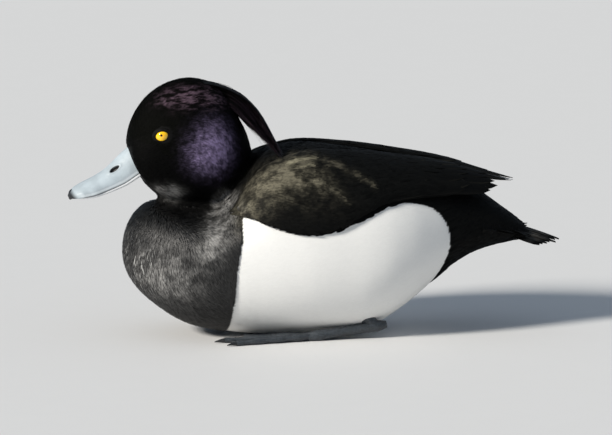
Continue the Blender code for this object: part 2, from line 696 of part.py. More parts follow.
def make_leg(name, side, out=0.0):
    """One leg: thigh, shank, webbed toes, hind toe and claws. With out it is a cutter that much wider."""
    flip = Vector((1, side, 1))
    heel, root, thigh = HEEL * flip, TOE_ROOT * flip, THIGH_TOP * flip
    thigh += (thigh - heel).normalized() * out
    pieces = [
        tube("shank", [heel.lerp(root, k / 5) for k in range(-1, 7)], [r + out for r in SHANK_RADII]),
        tube("thigh", [heel, heel.lerp(thigh, 0.5), thigh], [r + out for r in THIGH_RADII], flat_floor=False),
    ]
    if not out:
        edges = []
        for length, outward, joints in TOES.values():
            path = toe_path(side, length, outward)
            edges.append(path)
            knuckles = [1 + 0.16 * math.cos(k / 7 * joints * 2 * math.pi) for k in range(8)]
            radii = [TOE_RADIUS * (1 - 0.05 * k) * knuckle for k, knuckle in enumerate(knuckles)]
            pieces.append(tube("toe", path, radii))
            forward = (path[-1] - path[0]).normalized() * CLAW_LENGTH
            claw = [path[-1] + forward * t - Vector((0, 0, 0.0002 + 0.0006 * t)) for t, _ in CLAW_SECTIONS]
            pieces.append(tube("claw", claw, [radius for _, radius in CLAW_SECTIONS], around=6))
        for first, second in zip(edges, edges[1:]):
            pieces.append(make_web(first, second))
        back = root + Vector((0.001, -side * 0.002, -0.0006))
        reach = Vector((HIND_TOE_LENGTH, -side * 0.006, -0.0008))
        hind = [back + reach * t for t, _ in HIND_TOE_SECTIONS]
        pieces.append(tube("hind_toe", hind, [radius for _, radius in HIND_TOE_SECTIONS]))
    return joined(name, pieces)


def make_web(first, second):
    """The skin between two toes, with its front edge drawn back in a curve."""
    rings = []
    rows = 4
    for k in range(1, rows + 1):
        share = k / rows
        ring_top, ring_bottom = [], []
        for j in range(5):
            f = j / 4
            back = 1 - WEB_CURVE * math.sin(math.pi * f) if k == rows else 1
            reach = share * 0.96 * back * (len(first) - 1)
            index = min(int(reach), len(first) - 2)
            a = first[index].lerp(first[index + 1], reach - index)
            b = second[index].lerp(second[index + 1], reach - index)
            point = a.lerp(b, f)
            ring_top.append(Vector((point.x, point.y, WEB_FLOOR + WEB_THICKNESS)))
            ring_bottom.append(Vector((point.x, point.y, WEB_FLOOR)))
        rings.append(ring_top + ring_bottom[::-1])
    return loft("web", rings)


def joined(name, pieces):
    """One closed body from pieces that run into each other."""
    body = pieces[0]
    group = bpy.data.collections.new("pieces")
    bpy.context.scene.collection.children.link(group)
    for piece in pieces[1:]:
        bpy.data.collections["tufted_duck"].objects.unlink(piece)
        group.objects.link(piece)
    modifier = body.modifiers.new("Union", "BOOLEAN")
    modifier.operation = "UNION"
    modifier.operand_type = "COLLECTION"
    modifier.collection = group
    modifier.solver = "EXACT"
    apply_modifiers(body)
    for piece in pieces[1:]:
        bpy.data.objects.remove(piece)
    bpy.data.collections.remove(group)
    body.name = name
    keep_largest(body)
    return body


def keep_largest(obj):
    """Drops all but the largest closed surface of a mesh."""
    bm = bmesh.new()
    bm.from_mesh(obj.data)
    unseen = set(bm.faces)
    islands = []
    while unseen:
        island = {unseen.pop()}
        front = list(island)
        while front:
            face = front.pop()
            for edge in face.edges:
                for other in edge.link_faces:
                    if other in unseen:
                        unseen.discard(other)
                        island.add(other)
                        front.append(other)
        islands.append(island)
    islands.sort(key=lambda island: sum(f.calc_area() for f in island))
    for island in islands[:-1]:
        bmesh.ops.delete(bm, geom=list(island), context="FACES")
    bm.to_mesh(obj.data)
    bm.free()


def material(name, colour, roughness, metallic=0.0):
    made = bpy.data.materials.new(name)
    made.use_nodes = True
    shader = made.node_tree.nodes["Principled BSDF"]
    shader.inputs["Base Color"].default_value = colour
    shader.inputs["Roughness"].default_value = roughness
    shader.inputs["Metallic"].default_value = metallic
    return made


def finish(obj, made):
    obj.data.materials.clear()
    obj.data.materials.append(made)
    obj.data.shade_smooth()
    obj.data.set_sharp_from_angle(angle=math.radians(40))


def make_tail():
    """The coverts' cone, the fan of tail feathers, and the longer coverts over and under their roots."""
    draw = random.Random(21)
    pieces = [trunk_form("tail", TAIL_CUT + GAP, TAIL_END, 9, around=22)]
    for k in range(TAIL_FEATHERS):
        place = (k - (TAIL_FEATHERS - 1) / 2) / ((TAIL_FEATHERS - 1) / 2)
        turn = TAIL_FAN * place
        rank = abs(k - (TAIL_FEATHERS - 1) / 2) - 0.5
        length = TAIL_MIDDLE_LENGTH + (TAIL_OUTER_LENGTH - TAIL_MIDDLE_LENGTH) * abs(place) ** 1.5
        lie = Vector((math.cos(turn), math.sin(turn), TAIL_SLOPE))
        across = Vector((-math.sin(turn), math.cos(turn), 0))
        stations = []
        for s, taper in TAIL_SECTIONS:
            middle = TAIL_ROOT + Vector((0, TAIL_ROOT_SPREAD * place, 0)) + lie * (length * s)
            middle.z -= TAIL_BEND * max(middle.x - TAIL_BEND_FROM, 0) ** 2
            middle.z -= TAIL_STEP * (rank + (0.25 if k % 2 and rank == 0 else 0)) * (0.5 + 0.5 * s)
            half = across * (TAIL_FEATHER_HALF_WIDTH * taper) - Vector((0, 0, TAIL_TILT * place))
            stations.append((middle, half, Vector((0, 0, 1))))
        pieces.append(strip("tail_feather", stations, TAIL_FEATHER_THICKNESS))
    for under in (False, True):
        for row, (start, length, half_arc) in enumerate(COVERT_ROWS):
            count = 3 if under else 4 - row
            for k in range(count):
                turn = (k - (count - 1) / 2) * 2 / count * math.radians(half_arc)
                turn = math.pi - turn if under else turn
                reach = length * draw.uniform(0.92, 1.05)
                stations = []
                for s, taper in COVERT_SECTIONS:
                    x = start + reach * s
                    here = TRUNK.point(x, turn, COVERT_RISE * min(1, 1.5 * s) - COVERT_ROOT_DEPTH)
                    across = (TRUNK.point(x, turn + 0.1) - TRUNK.point(x, turn - 0.1)).normalized()
                    up = (TRUNK.point(x, turn, 0.001) - TRUNK.point(x, turn)).normalized()
                    stations.append((here, across * (COVERT_HALF_WIDTH * taper), up))
                pieces.append(strip("covert", stations, COVERT_THICKNESS))
    return joined("tail", pieces)


def main():
    for obj in list(bpy.data.objects):
        bpy.data.objects.remove(obj)
    group = bpy.data.collections.new("tufted_duck")
    bpy.context.scene.collection.children.link(group)
    layer = bpy.context.view_layer
    layer.active_layer_collection = layer.layer_collection.children["tufted_duck"]

    black = material("black_plumage", PLUMAGE_BLACK, 0.55)
    head_black = material("head_plumage", HEAD_BLACK, 0.42)
    brown_black = material("wing_plumage", WING_BROWN_BLACK, 0.6)
    white = material("white_plumage", PLUMAGE_WHITE, 0.7)
    blue = material("bill_horn", BILL_BLUE, 0.4)
    nail_black = material("nail_horn", NAIL_BLACK, 0.35)
    yellow = material("eye", EYE_YELLOW, 0.1)
    grey = material("foot_skin", FOOT_GREY, 0.55)

    trunk = trunk_form("torso", BREAST_TIP_X, TAIL_CUT, 27)
    head = ball("head", head_surface, across=32, up=20)
    head_cutter = inflated(head)
    neck = make_neck()
    neck_cutter = inflated(neck)
    boolean(neck, inflated(trunk), "DIFFERENCE")
    # The mantle is pressed in where the head rests on it
    boolean(trunk, head_cutter, "DIFFERENCE", keep_other=True)

    lids = [make_lid(side) for side in (-1, 1)]
    crest = joined("crest", make_crest_locks())
    boolean(crest, head_cutter, "DIFFERENCE", keep_other=True)
    base = make_crest_base()
    boolean(head, inflated(base, 1.6 * GAP), "DIFFERENCE")
    crest = joined("crest", [base, crest])
    head = joined("head", [head, *lids])
    # The nape and throat: the head is cut where the neck enters it
    boolean(head, neck_cutter, "DIFFERENCE")
    keep_largest(head)
    keep_largest(neck)
    eyes = []
    for name, side in (("eye_left", -1), ("eye_right", 1)):
        eyes.append(make_eye(name, side, EYE_RADIUS))
        boolean(head, make_eye("socket", side, EYE_RADIUS + GAP), "DIFFERENCE")

    nail = make_nail()
    upper = make_upper_bill()
    boolean(upper, inflated(nail), "DIFFERENCE")
    for side in (-1, 1):
        boolean(upper, make_nostril_cutter(side), "DIFFERENCE")
    lower = make_lower_bill()
    for bill in (upper, lower):
        boolean(bill, head_cutter, "DIFFERENCE", keep_other=True)
        keep_largest(bill)
    bpy.data.objects.remove(head_cutter)

    belly = side_prism("belly", BELLY_LINE)
    boolean(belly, trunk, "INTERSECT", keep_other=True)
    boolean(trunk, side_prism("belly_cutter", grown_outline(BELLY_LINE, GAP)), "DIFFERENCE")
    legs = []
    for name, side in (("leg_left", -1), ("leg_right", 1)):
        legs.append(make_leg(name, side))
        boolean(belly, make_leg("leg_cutter", side, out=GAP), "DIFFERENCE")
    keep_largest(belly)
    keep_largest(trunk)

    wings = [make_wing("wing_left", -1), make_wing("wing_right", 1)]
    tail = make_tail()

    for obj, made in (
        (trunk, black), (neck, head_black), (head, head_black), (crest, head_black), (belly, white),
        (tail, black), (upper, blue), (lower, blue), (nail, nail_black),
    ):
        finish(obj, made)
    for pair, made in ((eyes, yellow), (legs, grey), (wings, brown_black)):
        for obj in pair:
            finish(obj, made)


main()
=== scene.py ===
"""The looks of a still, life-size tufted duck drake: its skin, plumage, bill, eyes and feet."""

import math

import bmesh
import bpy
import numpy as np
from bpy.props import FloatProperty, FloatVectorProperty, IntProperty, PointerProperty
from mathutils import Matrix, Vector
from mathutils.bvhtree import BVHTree


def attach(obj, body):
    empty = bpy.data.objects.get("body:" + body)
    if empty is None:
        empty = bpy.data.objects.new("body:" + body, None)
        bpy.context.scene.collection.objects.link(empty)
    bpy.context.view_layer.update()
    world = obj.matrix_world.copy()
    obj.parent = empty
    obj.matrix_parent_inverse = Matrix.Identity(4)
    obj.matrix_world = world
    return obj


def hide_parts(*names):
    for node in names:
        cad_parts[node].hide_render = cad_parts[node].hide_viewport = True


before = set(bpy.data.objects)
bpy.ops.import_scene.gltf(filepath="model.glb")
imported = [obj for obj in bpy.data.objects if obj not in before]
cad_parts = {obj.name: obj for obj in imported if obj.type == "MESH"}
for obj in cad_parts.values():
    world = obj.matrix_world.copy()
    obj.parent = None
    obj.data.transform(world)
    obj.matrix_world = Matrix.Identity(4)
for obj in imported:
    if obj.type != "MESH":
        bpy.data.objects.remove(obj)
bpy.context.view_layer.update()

bl_info = {
    "name": "Tufted duck",
    "version": (1, 0, 0),
    "blender": (4, 5, 0),
    "location": "3D View > Sidebar > Duck",
    "description": "Builds the plumage, bill, eyes and feet of a tufted duck drake",
    "category": "Object",
}

MM = 0.001

# The solids' own sizes, in millimetres: the head and the neck
HEAD_CENTRE = np.array([-60.5, 0, 116.0])
HEAD_RADIUS = 37.0
HEAD_HALF_WIDTH = 26.2
CHIN_FLAT, BROW_FLAT, CHEEK_FULL = 2.5, 1.4, 2.2
NAPE_FULL, NAPE_HOLLOW = 8.0, 5.0
NECK_MIDDLE = -51.5
NECK_LEAN = 0.17
NECK_STATIONS = (  # height, half length, half width
    (59, 36, 46), (64, 36, 41), (69, 35, 34), (73, 33, 27), (76, 31, 20), (78.5, 28, 14), (81, 24, 11),
    (92, 20, 10), (105, 20, 10),
)

# Eyes
EYE_RADIUS = 4.9
EYE_SET_BACK = 3.6
EYE_DIRECTION = (-0.50, 0.146)
LID_OPENING = (3.55, 2.7)
LID_TILT = math.radians(12)  # how far the opening's rear corner is raised

# Bill: its own frame starts at BILL_BASE and slopes down
BILL_BASE = np.array([-88.0, 0, 99.5])
BILL_SLOPE = math.radians(30)
BILL_ROOT = np.array([-96.0, 0, 109.0])  # the middle of the feathers' edge round it
BILL_LENGTH = 46.2
NAIL_LENGTH = 7.1
NAIL_WIDTH = 7.0
NOSTRIL = (14.6, 9.1)  # its place along the bill and up

# Trunk: X, half width, top, widest height, bottom
TRUNK_STATIONS = (
    (-100, 42, 95, 50, 10.5),
    (-85, 47, 90, 50, 10),
    (-70, 49.5, 81, 50, 7),
    (-60, 50.5, 76.5, 50, 5),
    (-50, 52.5, 76.5, 51, 3.4),
    (-40, 54.5, 83, 52, 1.2),
    (-30, 56, 96.5, 53, 0),
    (-24, 56.7, 103.8, 53.6, -0.4),
    (-20, 57.2, 107.4, 54, -0.7),
    (-8, 58.2, 111, 55, -1),
    (6, 58.8, 112.6, 56, -1),
    (36, 57, 109.2, 57, -0.7),
    (50, 55, 106.8, 57, 4),
    (66, 50, 103.2, 58, 14),
    (82, 42, 97.5, 59, 27),
    (95, 34.5, 91, 60, 38.5),
    (110, 27, 84, 61, 46.5),
    (125, 19.5, 73.5, 60, 50.5),
    (143, 8.5, 59.2, 56.5, 53.2),
)
BREAST_TIP = (-100, 50, 50)  # X, height and the rounding's length
TRUNK_END = 140

# The roof that the wings lie on, the trunk's as far as X 50: X, half width, top, widest height
ROOF_STATIONS = (
    *(station[:4] for station in TRUNK_STATIONS if -50 <= station[0] <= 50),
    (66, 50.3, 103.8, 58),
    (82, 44, 100.8, 60),
    (96, 37, 97.5, 64),
    (114, 24, 92.5, 69),
    (134, 12, 87, 74),
)
WING_FRONT, WING_PAD_REAR, WING_TIP = -36, 116, 134
WING_CLEARANCE, WING_EDGE, WING_THICKNESS = 0.35, 0.55, 3.6
WING_UPPER_EDGE = (
    (-36, 34), (-20, 28), (-8, 24), (6, 18.5), (20, 15), (36, 11.5), (66, 7), (96, 6), (116, 9), (134, 16),
)
WING_LOWER_EDGE = (
    (-37.5, 76.2), (-33.5, 76.4), (-22, 72.8), (-10, 68.4), (1, 66.4), (13, 66.8), (25.6, 71),
    (37.6, 76.6), (49.5, 81.7), (62, 83.4), (74.8, 84), (90, 84), (104, 82.8), (116, 82), (134, 84.5),
)

# The white belly's edge, seen from the side
BELLY_LINE = (
    (-40, -10), (-40, 10), (-38.3, 45), (-35.3, 62), (-32.8, 76.8), (-22, 72.2), (-10, 67.8), (1, 65.8),
    (13, 66.2), (25.6, 70.4), (37.6, 76), (49.5, 81), (62, 82.3), (74.8, 79.8), (84.4, 73.5), (89.4, 64),
    (90.3, 55), (87.5, 44), (82, 32), (74, 18), (64, -10),
)
WHITE_FRONT = -40.5  # nothing before this X is white

# The lowest that the skin and the tufts reach, and the depth that the floor lies at
SKIN_FLOOR, TUFT_FLOOR, STAGE_DEPTH = 0.2, 0.25, -0.02

# Crest
CREST_PATH = np.array([[-49, 0, 149.2], [-30, 0, 144.7], [-20.2, -8, 128.2], [-9.4, -21, 110.2]])

# Tail: where the fan's root is, how it slopes down, and where it starts to bend
TAIL_ROOT, TAIL_HEIGHT, TAIL_SLOPE = 116, 66.8, 0.27
TAIL_BEND, TAIL_BEND_START = 0.003, 132

# How deep the skin lies under the plumage where nothing makes it less
COAT_DEPTH = 1.1

# Legs
HEEL = np.array([46, 33, 7.2])
TOE_ROOT = np.array([12, 36.5, 3.0])
THIGH_TOP = np.array([34, 30, 20.0])
TOE_RADIUS = 2.1
TOES = ((44, -13, 2), (56, 1, 3), (52, 14, 4))  # length, turn outward in degrees, number of joints
SHANK_RADII = ((-0.2, 2.2), (0, 3.6), (0.2, 3.1), (0.4, 2.8), (0.6, 2.7), (0.8, 2.9), (1.0, 3.4), (1.2, 2.6))
HIND_TOE_LENGTH = 13
CLAW_LENGTH = 6


def smooth(knots):
    """A curve through (place, value) pairs that doesn't overshoot between them, for arrays of places."""
    places, values = np.array(knots, float).T
    steps = np.diff(values) / np.diff(places)
    product, total = steps[:-1] * steps[1:], steps[:-1] + steps[1:]
    inner = np.where(product > 0, 2 * product / (total + 1e-12), 0)
    slopes = np.concatenate([steps[:1], inner, steps[-1:]])

    def value(place):
        place = np.clip(place, places[0], places[-1])
        span = np.clip(np.searchsorted(places, place, side="right") - 1, 0, len(steps) - 1)
        width = places[span + 1] - places[span]
        t = (place - places[span]) / width
        return (
            values[span] * (1 + 2 * t) * (1 - t) ** 2
            + values[span + 1] * t * t * (3 - 2 * t)
            + slopes[span] * width * t * (1 - t) ** 2
            - slopes[span + 1] * width * t * t * (1 - t)
        )

    return value


def between(low, high, value):
    """0 below low, 1 above high, and a smooth step between."""
    t = np.clip((value - low) / (high - low), 0, 1)
    return t * t * (3 - 2 * t)


def unit(vectors):
    return vectors / np.maximum(np.linalg.norm(vectors, axis=-1, keepdims=True), 1e-9)


def distance(points, place):
    return np.linalg.norm(points - place, axis=-1)


def turns(count):
    """Angles evenly round a circle."""
    return np.linspace(0, 2 * math.pi, count, endpoint=False)


def hump(place, width):
    """1 at 0, falling to 0 on both sides."""
    return np.exp(-((place / width) ** 2))


def scaled(colour, *factors):
    """A colour made lighter or darker, by one factor or one for each channel."""
    return tuple(colour[k] * factors[k % len(factors)] for k in range(3))


class Form:
    """A body form along X whose sections are superellipses. A turn of 0 is its top and pi its bottom."""

    power = 2 / 2.2

    def __init__(self, stations, nose=None):
        columns = list(zip(*stations))
        curves = [smooth(list(zip(columns[0], column))) for column in columns[1:]]
        self.half_width, self.top, self.middle = curves[:3]
        self.bottom = curves[3] if len(curves) > 3 else None
        self.nose = nose

    def section(self, x, turn):
        width, top, middle = self.half_width(x), self.top(x), self.middle(x)
        bottom = self.bottom(x) if self.bottom else 2 * middle - top
        if self.nose:
            t = np.clip((x - self.nose[0]) / self.nose[2], 0, 1)
            grown = np.sqrt(np.maximum(1 - (1 - t) ** 2, 0))
            width = width * grown
            top, middle, bottom = (self.nose[1] + (z - self.nose[1]) * grown for z in (top, middle, bottom))
        side = np.sign(np.sin(turn)) * np.abs(np.sin(turn)) ** self.power
        rise = np.abs(np.cos(turn)) ** self.power
        z = np.where(np.cos(turn) > 0, middle + (top - middle) * rise, middle - (middle - bottom) * rise)
        return np.stack(np.broadcast_arrays(x, width * side, z), -1)

    def point(self, x, turn, out=0.0):
        """Points at these places, moved out along the form's normal."""
        x, turn, out = np.broadcast_arrays(np.asarray(x, float), turn, out)
        here = self.section(x, turn)
        along = self.section(x + 0.1, turn) - self.section(x - 0.1, turn)
        round_it = self.section(x, turn + 0.01) - self.section(x, turn - 0.01)
        return here + unit(np.cross(along, round_it)) * out[..., None]

    def turn_at(self, x, height):
        rise = (height - self.middle(x)) / (self.top(x) - self.middle(x))
        return np.arccos(np.clip(rise, 0, 1) ** (1 / self.power))


TRUNK = Form(TRUNK_STATIONS, BREAST_TIP)
ROOF = Form(ROOF_STATIONS)
UPPER_EDGE, LOWER_EDGE = smooth(WING_UPPER_EDGE), smooth(WING_LOWER_EDGE)


def head_surface(directions):
    """The head's surface for points of the unit sphere: a narrower crown, and full beside the bill."""
    x, y, z = np.moveaxis(np.asarray(directions, float), -1, 0)
    power = 2 + 1.2 * np.clip((-x - 0.3) / 0.5, 0, 1) * np.clip((0.1 - z) / 0.3, 0, 1)
    side = np.clip(np.abs(y), 0, 0.98)
    full = np.where(np.abs(y) < 0.98, (1 - side**power) ** (1 / power) / np.sqrt(1 - side * side), 1)
    x, z = x * full, z * full
    width = HEAD_HALF_WIDTH * (1 - 0.12 * z + 0.05 * x)
    front, rear, below = np.maximum(0, -x), np.maximum(0, x), np.maximum(0, -z)
    radius = HEAD_RADIUS - CHIN_FLAT * front * below - BROW_FLAT * front * np.maximum(0, z)
    radius += CHEEK_FULL * below**2 + NAPE_FULL * rear * below
    radius -= NAPE_HOLLOW * rear * hump(z - 0.47, 0.42)
    return HEAD_CENTRE + np.stack([x * radius, y * width, z * radius], -1)


def eye_centre(side):
    """The eyeball's centre. Side is -1 for the duck's left and 1 for its right."""
    x, z = EYE_DIRECTION
    surface = head_surface([x, side * math.sqrt(1 - x * x - z * z), z])
    return surface - eye_axis(side) * EYE_SET_BACK


def eye_axis(side):
    return unit(np.array([-0.25, side * 1.0, 0.0]))


def bezier(points, t):
    t = np.asarray(t, float)[..., None]
    a, b, c, d = points
    return a * (1 - t) ** 3 + b * (3 * t * (1 - t) ** 2) + c * (3 * t * t * (1 - t)) + d * t**3


BILL_FORWARD = np.array([-math.cos(BILL_SLOPE), 0, -math.sin(BILL_SLOPE)])
BILL_RISE = np.array([-math.sin(BILL_SLOPE), 0, math.cos(BILL_SLOPE)])
CULMEN = smooth(((-10, 17.5), (0, 15.4), (6.7, 14.2), (12, 12.8), (17.1, 11.5), (22, 10.8), (26.6, 10.7),
                 (31.4, 10.9), (36, 11.2), (40, 11.1), (43.5, 10.3), (46.2, 8.5)))
MOUTH = smooth(((-10, 0.3), (4, -0.3), (13.2, -0.9), (20.2, -0.2), (27, 0.9), (32.9, 2.2), (40.1, 4.8),
                (46.2, 7.2)))
BILL_HALF_WIDTH = smooth(((-10, 9.8), (4, 9.6), (15, 9.2), (25, 10), (33, 11.2), (37.5, 11.2), (41, 9.8),
                          (43.7, 7.6), (45.5, 4.8), (46.2, 2.8)))


def bill_point(along, across, up):
    along, across, up = np.broadcast_arrays(np.asarray(along, float), across, up)
    sideways = across[..., None] * np.array([0, 1.0, 0])
    return BILL_BASE + BILL_FORWARD * along[..., None] + sideways + BILL_RISE * up[..., None]


def bill_place(points):
    """Along, across and up in the bill's frame for points in the model's frame."""
    offset = points - BILL_BASE
    return offset @ BILL_FORWARD, offset[..., 1], offset @ BILL_RISE


def wing_turn(x, share):
    """The turn on the roof: share runs from the wing's upper to its lower edge."""
    first = np.radians(UPPER_EDGE(x))
    return first + (ROOF.turn_at(x, LOWER_EDGE(x)) - first) * share


def wing_point(x, share, side, out):
    """A point over the wing, at a height over its pad."""
    lens = np.maximum(1 - (2 * np.clip(share, 0, 1) - 1) ** 2, 0) ** 0.6
    t = (x - WING_FRONT) / (WING_TIP - WING_FRONT)
    ends = np.clip(t * 8 + 0.05, 0.05, 1) * np.clip((1 - t) * 4 + 0.1, 0.1, 1)
    thick = WING_EDGE + WING_THICKNESS * lens * ends
    return ROOF.point(x, side * wing_turn(x, share), WING_CLEARANCE + thick + out)


class Value:
    """A socket that reads as a number in an expression. Each operation adds its Math node."""

    def __init__(self, finish, socket):
        self.finish, self.socket = finish, socket

    def math(self, operation, first, second=None):
        inputs = {0: first} if second is None else {0: first, 1: second}
        return self.finish.node("ShaderNodeMath", {"operation": operation}, inputs)

    def __add__(self, other):
        return self.math("ADD", self, other)

    __radd__ = __add__

    def __mul__(self, other):
        return self.math("MULTIPLY", self, other)

    __rmul__ = __mul__

    def __sub__(self, other):
        return self.math("SUBTRACT", self, other)

    def __rsub__(self, other):
        return self.math("SUBTRACT", other, self)

    def absolute(self):
        return self.math("ABSOLUTE", self)

    def sine(self):
        return self.math("SINE", self)

    def step(self, low, high):
        """0 below low, 1 above high, and a smooth step between."""
        settings = {"interpolation_type": "SMOOTHSTEP"}
        return self.finish.node("ShaderNodeMapRange", settings, {0: self, 1: low, 2: high})


class Finish:
    """A material being made: its shader's constants, and one way to add every other node."""

    def __init__(self, name, **constants):
        self.material = bpy.data.materials.new(name)
        self.material.use_nodes = True
        self.tree = self.material.node_tree
        self.shader = self.tree.nodes["Principled BSDF"]
        for socket, value in constants.items():
            self.shader.inputs[socket.replace("_", " ")].default_value = value

    def node(self, kind, settings=None, inputs=None, output=0):
        made = self.tree.nodes.new(kind)
        for name, value in (settings or {}).items():
            setattr(made, name, value)
        for name, value in (inputs or {}).items():
            self.feed(made.inputs[name], value)
        return Value(self, made.outputs[output])

    def feed(self, socket, value):
        if isinstance(value, Value):
            self.tree.links.new(value.socket, socket)
        else:
            socket.default_value = value

    def surface(self, **values):
        """Feeds what changes over the surface to the shader."""
        for socket, value in values.items():
            self.feed(self.shader.inputs[socket.replace("_", " ")], value)

    def attribute(self, name):
        return self.node("ShaderNodeAttribute", {"attribute_name": name}, output="Fac")

    def uv(self, name):
        """The two coordinates of a UV map."""
        place = self.node("ShaderNodeUVMap", {"uv_map": name})
        return [self.node("ShaderNodeSeparateXYZ", inputs={0: place}, output=k) for k in (0, 1)]

    def place(self, stretch=(1, 1, 1)):
        """The place on the piece, in metres, stretched along the axes."""
        coordinates = self.node("ShaderNodeTexCoord", output="Object")
        settings = {"operation": "MULTIPLY"}
        return self.node("ShaderNodeVectorMath", settings, {0: coordinates, 1: stretch})

    def noise(self, size, detail=3, roughness=0.5, vector=None):
        """Noise from 0 to 1 whose lumps are about this many metres across."""
        inputs = {"Vector": vector or self.place(), "Scale": 1 / size, "Detail": detail,
                  "Roughness": roughness}
        return self.node("ShaderNodeTexNoise", inputs=inputs)

    def mix(self, first, second, factor):
        """A colour between two."""
        first, second = (c if isinstance(c, Value) else (*c[:3], 1.0) for c in (first, second))
        return self.node("ShaderNodeMix", {"data_type": "RGBA"}, {0: factor, 6: first, 7: second}, output=2)

    def bump(self, height, distance, strength=1.0):
        """Raised detail. Distance is the height of 1 in metres."""
        inputs = {"Height": height, "Distance": distance, "Strength": strength}
        return self.node("ShaderNodeBump", inputs=inputs)

    def vane(self):
        """How far a vane's points are from its shaft, across and along, and the height of its barbs."""
        across, along = self.uv("Feather")
        centre = (across - 0.5).absolute() * 2
        barbs = (centre * 9 - along * 95).sine() * 0.5 + (centre * 14 - along * 210).sine() * 0.25
        return centre, across, along, barbs


def new_mesh(name, points, quads, triangles=()):
    """A mesh from points in millimetres."""
    mesh = bpy.data.meshes.new(name)
    quads = np.asarray(quads, np.int32).reshape(-1, 4)
    triangles = np.asarray(triangles, np.int32).reshape(-1, 3)
    mesh.vertices.add(len(points))
    mesh.vertices.foreach_set("co", (np.asarray(points) * MM).astype(np.float32).ravel())
    mesh.loops.add(quads.size + triangles.size)
    mesh.loops.foreach_set("vertex_index", np.concatenate([quads.ravel(), triangles.ravel()]))
    mesh.polygons.add(len(quads) + len(triangles))
    starts = np.concatenate([np.arange(len(quads)) * 4, quads.size + np.arange(len(triangles)) * 3])
    mesh.polygons.foreach_set("loop_start", starts.astype(np.int32))
    mesh.update(calc_edges=True)
    return mesh


def new_piece(name, mesh, finish, replaced=(), sharp=35):
    """An object of the model: it rides on the body, and stands for the solids that it replaces."""
    obj = bpy.data.objects.new(name, mesh)
    bpy.context.scene.collection.objects.link(obj)
    mesh.materials.append(finish.material)
    mesh.shade_smooth()
    mesh.set_sharp_from_angle(angle=math.radians(sharp))
    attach(obj, "root")
    if replaced:
        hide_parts(*replaced)
    return obj


def set_attribute(mesh, name, values):
    attribute = mesh.attributes.new(name, "FLOAT", "POINT")
    attribute.data.foreach_set("value", np.asarray(values, np.float32).ravel())


def set_uv(mesh, name, uv):
    """A UV map from one pair of coordinates for each point of the mesh."""
    corners = np.empty(len(mesh.loops), np.int32)
    mesh.loops.foreach_get("vertex_index", corners)
    layer = mesh.uv_layers.new(name=name)
    layer.data.foreach_set("uv", np.asarray(uv, np.float32)[corners].ravel())


def grid_quads(rows, columns, closed=False):
    """The quads of a grid of points, whose columns may run round and meet."""
    strips = columns if closed else columns - 1
    row, column = np.meshgrid(np.arange(rows - 1) * columns, np.arange(strips), indexing="ij")
    after = (column + 1) % columns
    below = row + columns
    return np.stack([row + column, row + after, below + after, below + column], -1).reshape(-1, 4)


def closed_loft(rings):
    """The points, quads and triangles of a form through rings of points, its ends drawn to their middles."""
    rings = np.asarray(rings)
    rows, columns = rings.shape[:2]
    ends = [rings[0].mean(0), rings[-1].mean(0)]
    points = np.concatenate([rings.reshape(-1, 3), ends])
    around = np.arange(columns)
    after = (around + 1) % columns
    last = (rows - 1) * columns
    start_cap = np.stack([after, around, np.full(columns, rows * columns)], -1)
    end_cap = np.stack([last + around, last + after, np.full(columns, rows * columns + 1)], -1)
    return points, grid_quads(rows, columns, closed=True), np.concatenate([start_cap, end_cap])


def together(forms):
    """One set of points, quads and triangles from several."""
    points, quads, triangles, count = [], [], [], 0
    for form in forms:
        points.append(form[0])
        quads.append(np.asarray(form[1], int).reshape(-1, 4) + count)
        triangles.append(np.asarray(form[2], int).reshape(-1, 3) + count)
        count += len(form[0])
    return np.concatenate(points), np.concatenate(quads), np.concatenate(triangles)


def closed_mesh(name, form):
    """A mesh from a closed form, with its faces turned outwards."""
    return turned_out(new_mesh(name, *form))


def turned_out(mesh):
    bm = bmesh.new()
    bm.from_mesh(mesh)
    bmesh.ops.recalc_face_normals(bm, faces=bm.faces)
    bm.to_mesh(mesh)
    bm.free()
    return mesh


def inside_outline(outline, x, z):
    """Whether points lie inside a closed outline in the side view."""
    inside = np.zeros(np.shape(x), bool)
    corners = np.array(outline, float)
    for (x0, z0), (x1, z1) in zip(corners, np.roll(corners, -1, axis=0)):
        crosses = (z0 > z) != (z1 > z)
        inside ^= crosses & (x < x0 + (z - z0) / (z1 - z0 if z1 != z0 else 1e-9) * (x1 - x0))
    return inside


def outline_curve(outline, steps=4):
    """The outline with its corners rounded by a curve through its points."""
    corners = np.array(outline, float)
    before, after, beyond = (np.roll(corners, k, axis=0) for k in (1, -1, -2))
    t = (np.arange(steps) / steps)[None, :, None]
    a, b, c, d = (p[:, None] for p in (before, corners, after, beyond))
    curve = 0.5 * (2 * b + (c - a) * t + (2 * a - 5 * b + 4 * c - d) * t**2 + (3 * b - a - 3 * c + d) * t**3)
    return curve.reshape(-1, 2)


BELLY_CURVE = outline_curve(BELLY_LINE)


def is_white(points):
    x, z = points[..., 0], points[..., 2]
    return inside_outline(BELLY_CURVE, x, z) & (x > WHITE_FRONT)


def spot(points, centre, size):
    """1 at a spot's middle, falling to 0 around it. Left and right are alike."""
    offset = points.copy()
    offset[..., 1] = np.abs(offset[..., 1])
    return np.exp(-(((offset - np.array(centre, float)) / np.array(size, float)) ** 2).sum(-1))


def stroke(points, start, end, width, sag=0.0):
    """1 along a stroke between two places in the side view, falling to 0 beside it. Sag bends it upwards."""
    start, end = np.array(start, float), np.array(end, float)
    place = points[..., [0, 2]]
    t = np.clip(((place - start) @ (end - start)) / ((end - start) ** 2).sum(), 0, 1)
    line = start + (end - start) * t[..., None] + np.array([0, sag]) * (4 * t * (1 - t))[..., None]
    return np.exp(-((place - line) ** 2).sum(-1) / width**2)


